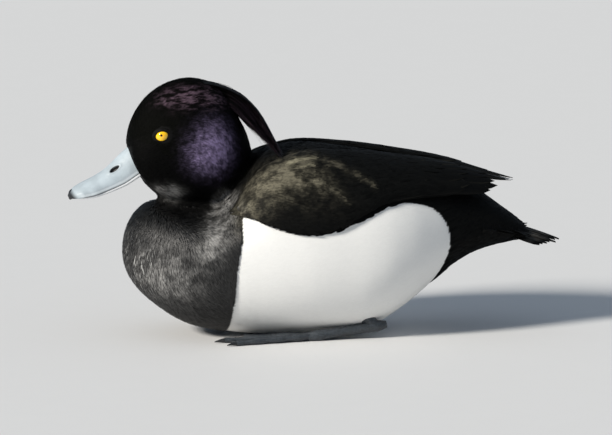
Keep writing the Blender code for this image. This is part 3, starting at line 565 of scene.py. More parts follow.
# Each mark's spots, as weight, middle and size, and its strokes, as weight, two ends in the side view,
# width and sag
MARKS = {
    # violet and plum: the drake's own iridescent gloss, painted as fixed colour where its sheen shows on the
    # cheek and crown, so partly painted sheen
    "violet": ((1, (-48.5, 25, 115), (13, 16, 15.5)), (0.35, (-58, 28, 109), (11, 12, 11))),
    "plum": ((1, (-61, 13, 142), (21, 10, 7)),),
    "olive": (
        (1, (-9, 42, 98), (19, 20, 11)), (0.65, (-27, 46, 86), (12, 16, 12)),
        (0.45, (-36, 46, 73), (10, 14, 12)), (0.32, (10, 46, 88), (20, 16, 15)), (0.75, (4, 26, 107), (10, 9, 4)),
        (0.42, (16, 107), (44, 93), 1.9, 2), (0.40, (8, 97), (26, 84), 1.9, 2),
    ),
    # Painted sheen: grey lightens the black of the low breast, a band by the shoulder and the chin, where light
    # plays on wet feathers
    "grey": (
        (0.9, (-82, 36, 42), (26, 30, 20)), (0.95, (-41, 82), (-54, 58), 7), (1.2, (-76, 14, 87), (9, 12, 6)),
    ),
    "glint": ((1, (-92, 22, 44), (17, 30, 17)),),
    "straw": ((1, (-7, 105.6), (10, 108.6), 0.8, 1), (0.7, (-3, 103.6), (9, 105.6), 0.6, 0.6)),
}


def markings(points):
    """The plumage's markings at points of the body: how white, violet, plum and so on it is, with painted sheen,
    painted highlights and painted shade among them.
    """
    marks = {}
    for name, parts in MARKS.items():
        drawn = [weight * (spot if len(place) == 3 else stroke)(points, place, *more)
                 for weight, place, *more in parts]
        marks[name] = np.clip(sum(drawn), 0, 1)
    x, _, z = np.moveaxis(points, -1, 0)
    # Painted shade: deep darkens the neck and breast just under the head, where the head's shadow falls
    marks["deep"] = between(62, 74, z) * between(-26, -40, x) * (headness(points) > 1.0)
    marks["white"] = is_white(points).astype(float)
    return marks


def set_markings(mesh, points):
    for name, values in markings(points).items():
        set_attribute(mesh, name, values)


def read_points(mesh):
    """The mesh's points in metres, and their normals."""
    points, normals = (np.empty(len(mesh.vertices) * 3, np.float32) for _ in range(2))
    mesh.vertices.foreach_get("co", points)
    mesh.vertex_normals.foreach_get("vector", normals)
    return points.reshape(-1, 3), normals.reshape(-1, 3)


CELL_KEY = np.array([1000003, 1009, 1])  # makes one number of a cell's three


class Skin:
    """A surface for what grows on it."""

    def __init__(self, mesh):
        mesh.calc_loop_triangles()
        points, normals = read_points(mesh)
        self.points = points.astype(float) / MM
        self.triangles = np.empty(len(mesh.loop_triangles) * 3, np.int32)
        mesh.loop_triangles.foreach_get("vertices", self.triangles)
        self.triangles = self.triangles.reshape(-1, 3)
        self.normals = unit(normals[self.triangles].mean(1))
        self.tree = BVHTree.FromPolygons(self.points.tolist(), self.triangles.tolist())

    def nearest(self, points):
        """The nearest points of the skin, and its normals there."""
        found = [self.tree.find_nearest(Vector(p)) for p in points]
        places = np.array([f[0][:] for f in found])
        return places, self.normals[[f[2] for f in found]]

    def scatter(self, spacing, draw):
        """Points spread evenly over the skin, about this far apart, and its normals there."""
        corners = self.points[self.triangles]
        first, second = corners[:, 1] - corners[:, 0], corners[:, 2] - corners[:, 0]
        area = np.linalg.norm(np.cross(first, second), axis=1) / 2
        count = int(area.sum() / spacing**2 * 3)
        chosen = draw.choice(len(area), count, p=area / area.sum())
        a, b = np.sort(draw.random((2, count)), axis=0)
        places = corners[chosen, 0] * a[:, None] + corners[chosen, 1] * (b - a)[:, None]
        places += corners[chosen, 2] * (1 - b)[:, None]
        keys = np.floor(places / spacing).astype(np.int64) @ CELL_KEY
        first = np.sort(np.unique(keys, return_index=True)[1])
        return places[first], self.normals[chosen[first]]


BAKE_CELL, BAKE_PATCH = 0.0034, 0.003  # of the bake map: the room for a tuft, and its patch in it
NEAR = 7  # how many cells away a tuft's own cell may be


def bake_cells(places, cell):
    """Each tuft's own cell of the bake map: a free one by its place on the unwrap, or else its place's."""
    count = int(1 / cell)
    low, high = places.min(0), places.max(0)
    wanted = np.clip(((places - low) / (high - low) * count).astype(int), 0, count - 1)
    steps = range(-NEAR, NEAR + 1)
    nearby = sorted(((i, j) for i in steps for j in steps), key=lambda step: step[0] ** 2 + step[1] ** 2)
    taken, cells = set(), []
    for u, v in wanted.tolist():
        near = ((u + i, v + j) for i, j in nearby)
        own = next((c for c in near if c not in taken and 0 <= min(c) and max(c) < count), (u, v))
        taken.add(own)
        cells.append(own)
    return (np.array(cells) + 0.5) / count


def unwrap(points):
    """Where points of the body lie on the skin's unwrap: round the body's long axis, and along it."""
    x, y, z = np.moveaxis(points, -1, 0)
    turn = np.arctan2(y, z - np.where(x < -20, 70, 55))
    length = np.interp(x, (-105, -20, 165), (0.02, 0.55, 0.98))
    return np.stack([0.5 + turn / (2 * math.pi) * 0.96, length], -1)


def unwrap_head(points):
    """Where points of the head lie on its unwrap: round the axis through the bill, and back along it."""
    x, y, z = np.moveaxis(unit(points - HEAD_CENTRE), -1, 0)
    turn, rise = np.arctan2(y, z) / (2 * math.pi), np.arcsin(np.clip(x, -1, 1)) / math.pi
    return 0.5 + 0.96 * np.stack([turn, rise], -1)


TUFT_RINGS = {
    # Share of the length, of the width, and of the ridge's height
    "hair": ((0, 0.7, 0.9), (0.55, 1, 1)),
    "blade": ((0, 0.6, 0.9), (0.4, 1, 1), (0.78, 0.8, 0.8)),
}


def grow_tufts(skin, roots, normals, lie, length, width, lift, draw, shape, ridge, ruffle, relief, sink, droop):
    """Tufts that lie back over the skin from their roots, each a closed wedge with a ridge along its middle.

    Their shading normals are the skin's, leant to the sides by the relief, so that the coat looks soft.
    """
    rings = TUFT_RINGS[shape]
    count = len(roots)
    here, normal, walked = roots, normals, 0
    lie = unit(lie - normal * (lie * normal).sum(1, keepdims=True))
    roll = draw.normal(0, 0.14 * ruffle, count)[:, None]
    lift = lift * (1 + ruffle * draw.uniform(-0.2, 0.15, count))
    rows, shading = [], []
    for share, wide, high in (*rings, (1, 0, 0)):
        if share:
            here, normal = skin.nearest(here + lie * (length * (share - walked))[:, None])
            lie = unit(lie - normal * (lie * normal).sum(1, keepdims=True))
            walked = share
        across = unit(np.cross(lie, normal)) + normal * roll
        height = (lift * (share - droop * share**4) - sink * (1 - share) ** 2)[:, None]
        middle = here + normal * height
        half = across * (width * wide)[:, None]
        if wide:
            rows.append([middle - half, middle + normal * (ridge * high * width)[:, None], middle + half])
            shading.append([normal - across * relief, normal, normal + across * relief])
        else:
            rows.append([middle])
            shading.append([normal])
    points, shading = (np.concatenate([np.stack(row, 1) for row in kind], 1) for kind in (rows, shading))
    each = points.shape[1]
    points[..., 2] = np.maximum(points[..., 2], TUFT_FLOOR)
    quads, triangles = [], [(0, 2, 1)]
    for ring in range(len(rings) - 1):
        a, b = 3 * ring, 3 * ring + 3
        quads += [(a + i, a + (i + 1) % 3, b + (i + 1) % 3, b + i) for i in range(3)]
    last = 3 * (len(rings) - 1)
    triangles += [(last + i, last + (i + 1) % 3, each - 1) for i in range(3)]
    starts = (np.arange(count) * each)[:, None, None]
    quads = (np.array(quads, int).reshape(1, -1, 4) + starts).reshape(-1, 4)
    triangles = (np.array(triangles) + starts).reshape(-1, 3)
    shares = [s for s, *_ in rings for _ in range(3)] + [1]
    sides = [0, 0.5, 1] * len(rings) + [0.5]
    return points.reshape(-1, 3), quads, triangles, np.array([sides, shares]).T, shading.reshape(-1, 3)


def set_shading(mesh, normals):
    """Gives each point of the mesh its own shading normal."""
    mesh.normals_split_custom_set_from_vertices(unit(normals).tolist())


def coat_piece(name, skin, finish, slot, roots, normals, lie, length, width, lift, seed, shape="hair",
               ridge=0.2, ruffle=1.0, relief=0.35, sink=0.35, droop=0.0, head=False, white=False):
    """A coat of tufts as one mesh, with their markings, and their patches of the bake map."""
    draw = np.random.default_rng(seed)
    each = len(TUFT_RINGS[shape]) * 3 + 1
    points, quads, triangles, feather, shading = grow_tufts(
        skin, roots, normals, lie, length, width, lift, draw, shape, ridge, ruffle, relief, sink, droop
    )
    mesh = new_mesh(name, points, quads, triangles)
    marks = markings(points.reshape(-1, each, 3)[:, -3])
    marks["white"] = np.full(len(roots), float(white))
    for mark, values in marks.items():
        set_attribute(mesh, mark, np.repeat(values, each))
    set_attribute(mesh, "tone", np.repeat(draw.random(len(roots)), each))
    cells = bake_cells(unwrap_head(roots) if head else unwrap(roots), BAKE_CELL)
    patch = (feather - 0.5) * BAKE_PATCH
    set_uv(mesh, "OFBake", (cells[:, None] + patch[None]).reshape(-1, 2))
    set_uv(mesh, "Feather", np.tile(feather, (len(roots), 1)))
    new_piece(name, mesh, finish, sharp=180)
    set_shading(mesh, shading)


def from_eyes(points):
    """The distance to the nearer eye's centre."""
    return np.minimum(*[distance(points, eye_centre(side)) for side in (-1, 1)])


def coat_depth(points):
    """How deep the skin lies under the plumage's surface: least round the bill and the eyes."""
    face = between(10, 30, distance(points, BILL_ROOT))
    return COAT_DEPTH * (0.25 + 0.75 * face) * (0.45 + 0.55 * between(5.5, 11, from_eyes(points)))


def headness(points):
    """Below 1 inside the head's ball."""
    offset = (points - HEAD_CENTRE) / (HEAD_RADIUS, HEAD_HALF_WIDTH, HEAD_RADIUS)
    return distance(offset, 0)


def is_head(points):
    return (headness(points) < 1.14) & (points[..., 2] > 79.5 - 0.10 * (points[..., 0] + 60))


def under_wing(points, margin=2.5):
    """Whether points of the back and flanks are hidden by a folded wing."""
    x, y, z = np.moveaxis(points, -1, 0)
    edge = ROOF.section(x, np.radians(UPPER_EDGE(x)))[..., 1]
    over = (x > WING_FRONT + margin) & (x < WING_PAD_REAR)
    return over & (np.abs(y) > edge + margin) & (z > LOWER_EDGE(x) + margin)


def in_bill(points, margin=0.6):
    along, across, up = bill_place(points)
    wide = np.abs(across) < BILL_HALF_WIDTH(along) + margin
    return (along > -9) & wide & (up > MOUTH(along) - 5) & (up < CULMEN(along) + margin)


def sphere_directions(rows, columns):
    polar = np.linspace(0.03, math.pi - 0.03, rows)[:, None]
    turn = turns(columns)[None]
    return np.stack([np.sin(polar) * np.cos(turn), np.sin(polar) * np.sin(turn), np.cos(polar) + 0 * turn], -1)


def skin_forms():
    """The trunk, neck and head as closed forms that run into each other."""
    t = np.linspace(0.01, 1, 100) ** 1.3
    x = BREAST_TIP[0] + (TRUNK_END - BREAST_TIP[0]) * (1 - np.cos(t * math.pi / 2) ** 1.15)
    turn = turns(96)
    trunk = TRUNK.section(x[:, None], turn[None])
    trunk[..., 2] = np.maximum(trunk[..., 2], 0)
    heights, lengths, widths = zip(*NECK_STATIONS)
    z = np.linspace(heights[0], heights[-1], 40)[:, None]
    half_length, half_width = (smooth(list(zip(heights, sizes)))(z) for sizes in (lengths, widths))
    middle = NECK_MIDDLE - NECK_LEAN * (z - heights[0])
    neck = np.stack([middle + half_length * np.cos(turn), half_width * np.sin(turn), z + 0 * turn], -1)
    head = head_surface(sphere_directions(48, 64))
    return [closed_loft(rings) for rings in (trunk, neck, head)]


def make_skin(voxel, finish):
    """One skin over head, neck and trunk, which lies inside them by the plumage's depth."""
    draft = bpy.data.objects.new("draft", closed_mesh("draft", together(skin_forms())))
    bpy.context.scene.collection.objects.link(draft)
    remesh = draft.modifiers.new("Remesh", "REMESH")
    remesh.mode, remesh.voxel_size, remesh.adaptivity = "VOXEL", voxel, 0
    relax = draft.modifiers.new("Smooth", "SMOOTH")
    relax.factor, relax.iterations = 0.5, 4
    graph = bpy.context.evaluated_depsgraph_get()
    mesh = bpy.data.meshes.new_from_object(draft.evaluated_get(graph))
    bpy.data.objects.remove(draft)
    mesh.name = "skin"
    points, normals = read_points(mesh)
    points = points / MM
    points = points - normals * coat_depth(points)[:, None]
    points[:, 2] = np.maximum(points[:, 2], SKIN_FLOOR)
    mesh.vertices.foreach_set("co", (points * MM).astype(np.float32).ravel())
    mesh.materials.clear()
    set_markings(mesh, points)
    set_attribute(mesh, "tone", np.full(len(points), 0.3))
    new_piece("skin", mesh, finish, ("head", "neck", "torso", "belly"), sharp=180)


def plumage_finish(name, black, violet, plum, olive, grey, white, roughness=0.5, barbs=0.3, gloss=0.2):
    """Body plumage: its markings with their painted sheen, highlights and shade, a tone for each tuft, gloss
    where it is coloured, and fine barbs.
    """
    finish = Finish(name, Specular_IOR_Level=gloss)
    tone = finish.attribute("tone")
    colour = finish.mix(black, scaled(black, 1.9), tone)
    # Painted shade under the head, from the deep mark
    colour = finish.mix(colour, (0.002, 0.002, 0.002), finish.attribute("deep"))
    blotch = finish.noise(0.007, 3, 0.6).step(0.32, 0.68)
    mottle = finish.noise(0.0035, 4, 0.65).step(0.32, 0.68)
    streak = finish.noise(0.0022, 3, 0.6, finish.place((0.3, 1, 1))).step(0.38, 0.66)
    # grey is painted sheen; violet and plum are the head's gloss, painted as colour in fixed places
    for mark, shade, even, pattern in (("olive", olive, 0.30, blotch), ("grey", grey, 0.35, blotch),
                                       ("plum", plum, 0.10, streak), ("violet", violet, 0.45, mottle)):
        share = finish.attribute(mark) * (even + (1 - even) * pattern) * (0.5 + 0.5 * tone)
        colour = finish.mix(colour, shade, share.step(0.0, 0.9))
    colour = finish.mix(colour, (0.40, 0.40, 0.39), finish.attribute("glint") * tone.step(0.90, 0.96))
    colour = finish.mix(colour, (0.26, 0.24, 0.17), finish.attribute("straw") * (0.25 + 0.75 * streak))
    is_marked_white = finish.attribute("white")
    colour = finish.mix(colour, finish.mix(scaled(white, 0.97), white, tone), is_marked_white)
    metal = finish.attribute("violet") * 0.35 + finish.attribute("plum") * 0.35
    rough = roughness + 0.14 * (tone - 0.5) + 0.2 * is_marked_white
    finish.surface(Base_Color=colour, Roughness=rough, Metallic=metal)
    if barbs:
        across, along = finish.uv("Feather")
        ribs = (across * 19 + along * 26).sine() * 0.5 + (across * 41 - along * 9).sine() * 0.3
        finish.surface(Normal=finish.bump(ribs, 0.00006, barbs))
    return finish


def tufts(name, skin, finish, slot, spacing, limit, where, lie, length, width, lift, seed, **more):
    """A coat over the part of the skin that where() chooses, with each size as a function of the place."""
    draw = np.random.default_rng(seed)
    roots, normals = skin.scatter(spacing, draw)
    chosen = where(roots)
    roots, normals = roots[chosen], normals[chosen]
    order = draw.permutation(len(roots))[:limit]
    roots, normals = roots[order], normals[order]
    lies = lie(roots) + draw.normal(0, 0.09 * more.get("ruffle", 1), roots.shape)
    lengths = length(roots) * draw.uniform(0.85, 1.15, len(roots))
    widths = width(roots) * draw.uniform(0.85, 1.15, len(roots))
    keep = np.ones(len(roots), bool)
    if more.pop("trim", False):
        lengths, keep = stop_at_edge(more.get("white", False), roots, unit(lies), lengths)
    return coat_piece(name, skin, finish, slot, roots[keep], normals[keep], lies[keep], lengths[keep],
                      widths[keep], lift(roots[keep]), seed + 1, **more)


def clear_of_eyes(points, margin=5.3):
    fronts = [eye_centre(side) + eye_axis(side) * 2 for side in (-1, 1)]
    return np.all([distance(points, front) > margin for front in fronts], axis=0)


def head_lie(points):
    """Back from the bill over the face and crown, and down over the cheek and throat."""
    x, _, z = np.moveaxis(points, -1, 0)
    fall = 1.35 * between(-74, -42, x) * between(146, 118, z)
    return unit(points - BILL_ROOT) + fall[:, None] * np.array([0, 0, -1.0])


def head_length(points):
    face = between(5, 38, distance(points, BILL_ROOT))
    crown = between(-66, -40, points[:, 0]) * between(136, 148, points[:, 2])
    return (1.5 + 4.6 * face + 3.4 * crown) * (0.45 + 0.55 * between(5, 11, from_eyes(points)))


def breast_lie(points):
    """Down the neck and the front of the breast, and back under it."""
    x, _, z = np.moveaxis(points, -1, 0)
    under = between(48, 10, z)
    back = 0.15 + 1.3 * under + 0.5 * between(-90, -45, x)
    return np.stack([back, 0 * x, -1 + 0.75 * under], -1)


def body_lie(points):
    """Back along the body, and up a little on the flanks."""
    x, _, z = np.moveaxis(points, -1, 0)
    return np.stack([1 + 0 * x, 0 * x, 0.34 * between(8, 40, z) * between(95, 80, z)], -1)


def stop_at_edge(white, roots, lies, lengths):
    """Tufts end at the white's edge: those that would pass it are shorter, and the last are left out."""
    for _ in range(4):
        past = is_white(roots + lies * lengths[:, None] * 0.96) != white
        lengths = np.where(past, lengths * 0.72, lengths)
    return lengths, is_white(roots + lies * lengths[:, None] * 0.9) == white


def is_front(points):
    """Whether points lie on the neck and breast."""
    x, _, z = np.moveaxis(points, -1, 0)
    return (x <= -38 - 0.35 * (z - 76)) | ((x < -28) & (z < 78))


def behind_white(points):
    """Black plumage of the back, rump and vent."""
    return ~is_front(points) & ~is_white(points) & ~is_head(points) & ~under_wing(points)


def before_white(points):
    """Black plumage of the neck and breast."""
    return is_front(points) & ~is_white(points) & ~is_head(points)


VANE_ROWS, VANE_COLUMNS = 12, 7


def vane_profile(share, pointed):
    """The half width along a vane, as a share of its greatest."""
    start = 0.62 - 0.30 * pointed
    t = np.clip((share - start) / (1 - start), 0, 1)
    tip = np.maximum(1 - t**2, 0) ** (0.5 + 0.45 * pointed)
    return np.maximum((0.35 + 0.65 * between(0, 0.35, share)) * tip, 0.035)


def vane_mesh(name, tops, bottoms, cell_columns):
    """One mesh of closed vanes from their faces' grids, each with its own cell of the bake map."""
    count, rows, columns = tops.shape[:3]
    points = np.concatenate([tops.reshape(count, -1, 3), bottoms.reshape(count, -1, 3)], 1)
    half = rows * columns
    grid = grid_quads(rows, columns)
    down = grid[:, ::-1] + half
    rim = np.concatenate([
        np.arange(columns - 1), np.arange(rows - 1) * columns + columns - 1,
        (rows - 1) * columns + np.arange(columns - 1, 0, -1), np.arange(rows - 1, 0, -1) * columns,
    ])
    after = np.roll(rim, -1)
    border = np.stack([after, rim, rim + half, after + half], -1)
    quads = np.concatenate([grid, down, border])
    starts = (np.arange(count) * 2 * half)[:, None, None]
    mesh = new_mesh(name, points.reshape(-1, 3), (quads[None] + starts).reshape(-1, 4))
    along, across = np.meshgrid(np.linspace(0, 1, rows), np.linspace(0, 1, columns), indexing="ij")
    feather = np.stack([across, along], -1).reshape(-1, 2)
    feather = np.concatenate([feather, feather])
    side = 1 / cell_columns
    cells = np.stack([np.arange(count) % cell_columns, np.arange(count) // cell_columns], -1) * side
    shift = np.zeros((2 * half, 2))
    shift[half:, 0] = 0.5
    own = (feather * (0.44, 0.92) + (0.03, 0.04) + shift) * side
    set_uv(mesh, "OFBake", (cells[:, None] + own[None]).reshape(-1, 2))
    set_uv(mesh, "Feather", np.tile(feather, (count, 1)))
    return turned_out(mesh), 2 * half


# Wing feathers in tiers: root X, length, half width, number, slant down across the wing, pointedness,
# tip's height and the part of the wing's breadth that they cover
WING_TIERS = (
    (-38, 15, 4.6, 9, 0.05, 0.15, 0.0, 0.02, 0.94),
    (-32, 18, 5.0, 10, 0.09, 0.15, 0.1, 0.02, 0.94),
    (-24, 21, 5.4, 11, 0.12, 0.15, 0.15, 0.02, 0.94),
    (-15, 24, 5.8, 11, 0.14, 0.15, 0.2, 0.02, 0.94),
    (-5, 28, 6.2, 11, 0.16, 0.2, 0.25, 0.02, 0.94),
    (7, 32, 6.6, 10, 0.16, 0.2, 0.35, 0.02, 0.94),
    (20, 37, 7.0, 9, 0.14, 0.25, 0.45, 0.02, 0.94),
    (34, 43, 7.2, 8, 0.10, 0.3, 0.55, 0.02, 0.94),
    (52, 50, 7.0, 7, 0.04, 0.4, 0.6, 0.02, 0.94),
    (73, 44, 5.6, 6, 0.0, 0.6, 0.6, 0.05, 0.98),
    (86, 46, 3.6, 4, 0.0, 0.8, 0.8, 0.06, 0.46),
)
VANE_ROOT_HEIGHT = -0.9
VANE_LAP = 0.16
VANE_THICKNESS = 0.26
VANE_RELIEF = 0.22
SHAFT_WIDTH = 0.16  # as a share of a vane's half width
SOFT_EDGE, EDGE_ROOM = 0.93, 0.07  # where vanes are held back from the wing's lower edge, and the room past it


def wing_normals(x, share, side):
    """The wing's outward normals, and the way down across it."""
    here = wing_point(x, share, side, 0)
    along = wing_point(x + 0.5, share, side, 0) - here
    down = unit(wing_point(x, share + 0.01, side, 0) - here)
    return unit(np.cross(down, along)) * -side, down


def wing_vanes(side, draw):
    """The wing's vanes: their upper and lower faces, the upper ones' shading, and which have a pale edge of
    painted reflection.
    """
    s = np.linspace(0, 1, VANE_ROWS)[:, None]
    c = np.linspace(-1, 1, VANE_COLUMNS)[None, :]
    tops, bottoms, shading, edges = [], [], [], []
    for root, length, half_width, number, slant, pointed, tip, first, last in WING_TIERS:
        for k in range(number):
            share = first + (last - first) * (k + 0.5) / number + draw.uniform(-0.02, 0.02)
            start = root + draw.uniform(-2.5, 2.5)
            reach = length * draw.uniform(0.93, 1.05)
            wide = half_width * draw.uniform(0.92, 1.08) * vane_profile(s, pointed)
            x = start + reach * s + 0 * c
            middle = share + slant * (s**1.3 - 0.4)
            span = np.linalg.norm(wing_point(x, 1, side, 0) - wing_point(x, 0, side, 0), axis=-1) + 4
            across = np.maximum(middle + c * wide / span, -0.03)
            past = np.maximum(across - SOFT_EDGE, 0)
            across = np.where(past > 0, SOFT_EDGE + EDGE_ROOM * (1 - np.exp(-past / EDGE_ROOM)), across)
            shaft = 0.05 * hump(c, SHAFT_WIDTH) * (1 - s)
            calm = 0.2 + 0.8 * between(0, 0.18, across) * between(1, 0.86, across)
            out = VANE_ROOT_HEIGHT + (tip * calm - VANE_ROOT_HEIGHT) * s**0.9
            out = out + VANE_LAP * c - 0.12 * c**2 + shaft
            thick = VANE_THICKNESS * (1 - 0.75 * np.abs(c) ** 1.5) * (1 - 0.6 * s)
            # The second vane of the rearmost tier carries the painted reflection along its edge
            edges.append(float(root > 80 and k == 1))
            tops.append(wing_point(x, across, side, out + thick / 2))
            bottoms.append(wing_point(x, across, side, out - thick / 2))
            normal, down = wing_normals(x, np.clip(across, 0.02, 0.98), side)
            shading.append(normal + down * (VANE_RELIEF * c)[..., None])
    return np.array(tops), np.array(bottoms), np.array(shading), np.array(edges)


def shoulder_tufts(name, side, finish, count, seed):
    """The soft small feathers over the front half of a folded wing."""
    draw = np.random.default_rng(seed)
    x, share = np.linspace(WING_FRONT, 100, 110)[:, None], np.linspace(0, 1, 60)[None]
    points = wing_point(x, share, side, 0.1).reshape(-1, 3)
    surface = new_mesh("surface", points, grid_quads(110, 60)[:, ::-side])
    over = Skin(surface)
    bpy.data.meshes.remove(surface)
    back = draw.random(count) ** 1.1
    x = WING_FRONT + 1 + (66 + 44 * draw.random(count)) * back
    share = 0.005 + (0.975 - 0.07 * back) * draw.random(count)
    roots = wing_point(x, share, side, 0.1)
    normals, down = wing_normals(x, share, side)
    lie = unit(wing_point(x + 1, share, side, 0.1) - roots)
    lie += down * (0.55 * share * (1 - share))[:, None] + draw.normal(0, 0.06, roots.shape)
    length = (7 + 12 * back) * draw.uniform(0.85, 1.15, count)
    width = (1.0 + 1.1 * back) * draw.uniform(0.85, 1.15, count)
    slot = "wing_left" if side < 0 else "wing_right"
    coat_piece(name, over, finish, slot, roots, normals, lie, length, width, 0.5 - 0.2 * back, seed + 1,
               shape="blade", ridge=0.15, ruffle=0.6, relief=0.3)


def wing_core(side):
    """The folded wing's body under the vanes."""
    t = np.linspace(0, 1, 60) ** 1.2
    x = WING_FRONT + (WING_PAD_REAR - WING_FRONT) * t[:, None]
    spread = np.minimum(1, (t * 9) ** 0.5 + 0.25) * np.minimum(1, ((1 - t) * 5) ** 0.6 + 0.10)
    shares = 0.5 + np.linspace(-0.5, 0.5, 25)[None] * spread[:, None] * 0.98
    outer = wing_point(x, shares, side, -0.45)
    inner = ROOF.point(x, side * wing_turn(x, shares), -0.4)
    return closed_loft(np.concatenate([outer, inner[:, ::-1]], 1))


def tail_bend(x):
    """How far the fan has bent down."""
    return TAIL_BEND * np.maximum(x - TAIL_BEND_START, 0) ** 2


def tail_surface(x, y, over):
    """Height of the tail's root over, or under, the tail feathers: the body's end, and the fan past it."""
    body = np.minimum(x, TRUNK_END)
    edge = TRUNK.top(body) if over > 0 else TRUNK.bottom(body)
    bulge = np.sqrt(np.maximum(1 - (y / TRUNK.half_width(body)) ** 2, 0))
    cone = TRUNK.middle(body) + (edge - TRUNK.middle(body)) * bulge
    fan = TAIL_HEIGHT - TAIL_SLOPE * (x - TAIL_ROOT) - tail_bend(x) - 0.18 * np.abs(y)
    past = between(TRUNK_END - 8, TRUNK_END + 2, x)
    return np.maximum(cone, fan) if over > 0 else cone + (fan - 2 - cone) * 0.5 * past


def tail_vanes(feathers):
    """The fan of tail feathers, the middle pair on top: their upper and lower faces."""
    s = np.linspace(0, 1, VANE_ROWS)[:, None, None]
    c = np.linspace(-1, 1, VANE_COLUMNS)[None, :, None]
    draw = np.random.default_rng(5)
    tops, bottoms = [], []
    for k in range(feathers):
        place = (k - (feathers - 1) / 2) / ((feathers - 1) / 2)
        rank = abs(k - (feathers - 1) / 2) - 0.5
        turn = math.radians(21) * place + draw.uniform(-0.015, 0.015)
        length = (44.5 - 11.5 * abs(place) ** 1.5) * draw.uniform(0.97, 1.02)
        lie = np.array([math.cos(turn), math.sin(turn), -TAIL_SLOPE])
        across = np.array([-math.sin(turn), math.cos(turn), -0.14 * place])
        wide = 4.9 * vane_profile(s, 0.12)
        drop = -1.0 * (rank + (0.25 if k % 2 and rank == 0 else 0)) * (0.5 + 0.5 * s)
        middle = np.array([TAIL_ROOT, 3.2 * place, TAIL_HEIGHT]) + lie * (length * s)
        drop = drop - tail_bend(middle[..., :1])
        shaft = 0.14 * hump(c, SHAFT_WIDTH) * (1 - 0.8 * s)
        rise = drop - 0.7 * c**2 + shaft - 1.2 * s * (1 - s)
        thick = 0.34 * (1 - 0.7 * np.abs(c) ** 1.5) * (1 - 0.5 * s)
        up = np.array([0, 0, 1.0])
        sheet = middle + across * (wide * c) + up * rise
        tops.append(sheet + up * thick / 2)
        bottoms.append(sheet - up * thick / 2)
    for row, root in enumerate((108, 113, 118, 123, 127.5)):
        for k in range(9):
            place = (k - 4 + 0.5 * (row % 2)) / 4.5
            turn = math.radians(20) * place + draw.uniform(-0.05, 0.05)
            length = draw.uniform(14, 17) * (1 - 0.15 * abs(place))
            wide = 3.0 * vane_profile(s, 0.3) * c
            x = root + math.cos(turn) * length * s - math.sin(turn) * wide
            start = float(TRUNK.half_width(root)) * 0.9 * place
            y = start + math.sin(turn) * length * s + math.cos(turn) * wide
            thick = 0.3 * (1 - 0.7 * np.abs(c) ** 1.5) * (1 - 0.5 * s)
            for over in (1, -1):
                z = tail_surface(x, y, over) + over * (0.55 * s - 1.0 * (1 - s) ** 2 - 0.3 * c**2 - 0.6)
                tops.append(np.concatenate([x, y, z + thick / 2], -1))
                bottoms.append(np.concatenate([x, y, z - thick / 2], -1))
    return np.array(tops), np.array(bottoms)


def crest_locks(count, clumps, draw):
    """The crest's fine locks: they leave the crown, arch back, and draw together in pointed clumps."""
    s = np.linspace(0, 1, 12)
    places = np.stack([draw.uniform(-1, 1, clumps), draw.permutation(np.linspace(-1, 1, clumps))], -1)
    ends = 1.09 - 0.12 * np.abs(places[:, 0]) - 0.22 * draw.random(clumps) ** 1.5
    forms = []
    for k in range(count):
        clump = k % clumps
        stray = k % 5 == 0
        side, layer = np.clip(places[clump] + draw.normal(0, 0.24, 2), -1.1, 1.1)
        start = 0.02 + 0.10 * draw.random()
        end = (ends[clump] - 0.05 * draw.random()) * (draw.uniform(0.6, 0.94) if stray else 1)
        t = start + (end - start) * s
        path = bezier(CREST_PATH, t)
        along = unit(bezier(CREST_PATH, np.minimum(t + 0.01, 1.1)) - bezier(CREST_PATH, t - 0.01))
        across = unit(np.array([0, 1.0, 0]) - along * along[:, 1:2])
        up = np.cross(along, across)
        up *= np.sign(up[:1, 2:3] + 1e-9)
        gather = 0.8 * between(0.45, 1.0, s)
        own_side = side + (places[clump][0] - side) * gather
        own_layer = layer + (places[clump][1] - layer) * gather
        close = 1 - 0.7 * between(0.55, 1.05, t)
        spread = 7.5 * (1 - 0.5 * t) * close
        thick = 5.0 * (1 - 0.2 * t) * close
        wander = draw.normal(0, 1.2 if stray else 0.45, 2) * (s**2)[:, None]
        target = path + across * (own_side * spread + wander[:, 0])[:, None]
        lower = 2.4 * (1 - t) + ((0.8 + 1.3 * (k % 3)) * s**2 if stray else 0) + 0.9 * own_side**2
        target += up * (own_layer * thick + wander[:, 1] - lower)[:, None]
        polar = math.radians(10 + 22 * (1 - layer)) + 0.75 * s
        turn = side * 0.34
        level = math.cos(turn)
        direction = np.stack([np.sin(polar) * level, math.sin(turn) + 0 * s, np.cos(polar) * level], -1)
        root = head_surface(direction) + unit(direction) * (-1.2 + 3 * s)[:, None]
        leave = between(0.0, 0.42, s)[:, None]
        middle = root * (1 - leave) + target * leave
        half = (0.22 if stray else draw.uniform(0.34, 0.5)) * (1 - 0.85 * s**2.2)
        flank = across * half[:, None]
        ridge = up * (half * 0.8)[:, None]
        forms.append(closed_loft(np.stack([middle - flank, middle + ridge, middle + flank], 1)))
    return forms


def bill_side(along):
    """1 along the middle of the bill's sides, falling to 0 at its root and its tip."""
    return between(-2, 6, along) * between(43, 36, along)


def bill_rows(start, end, count):
    return start + (end - start) * np.sin(np.linspace(0, math.pi / 2, count))


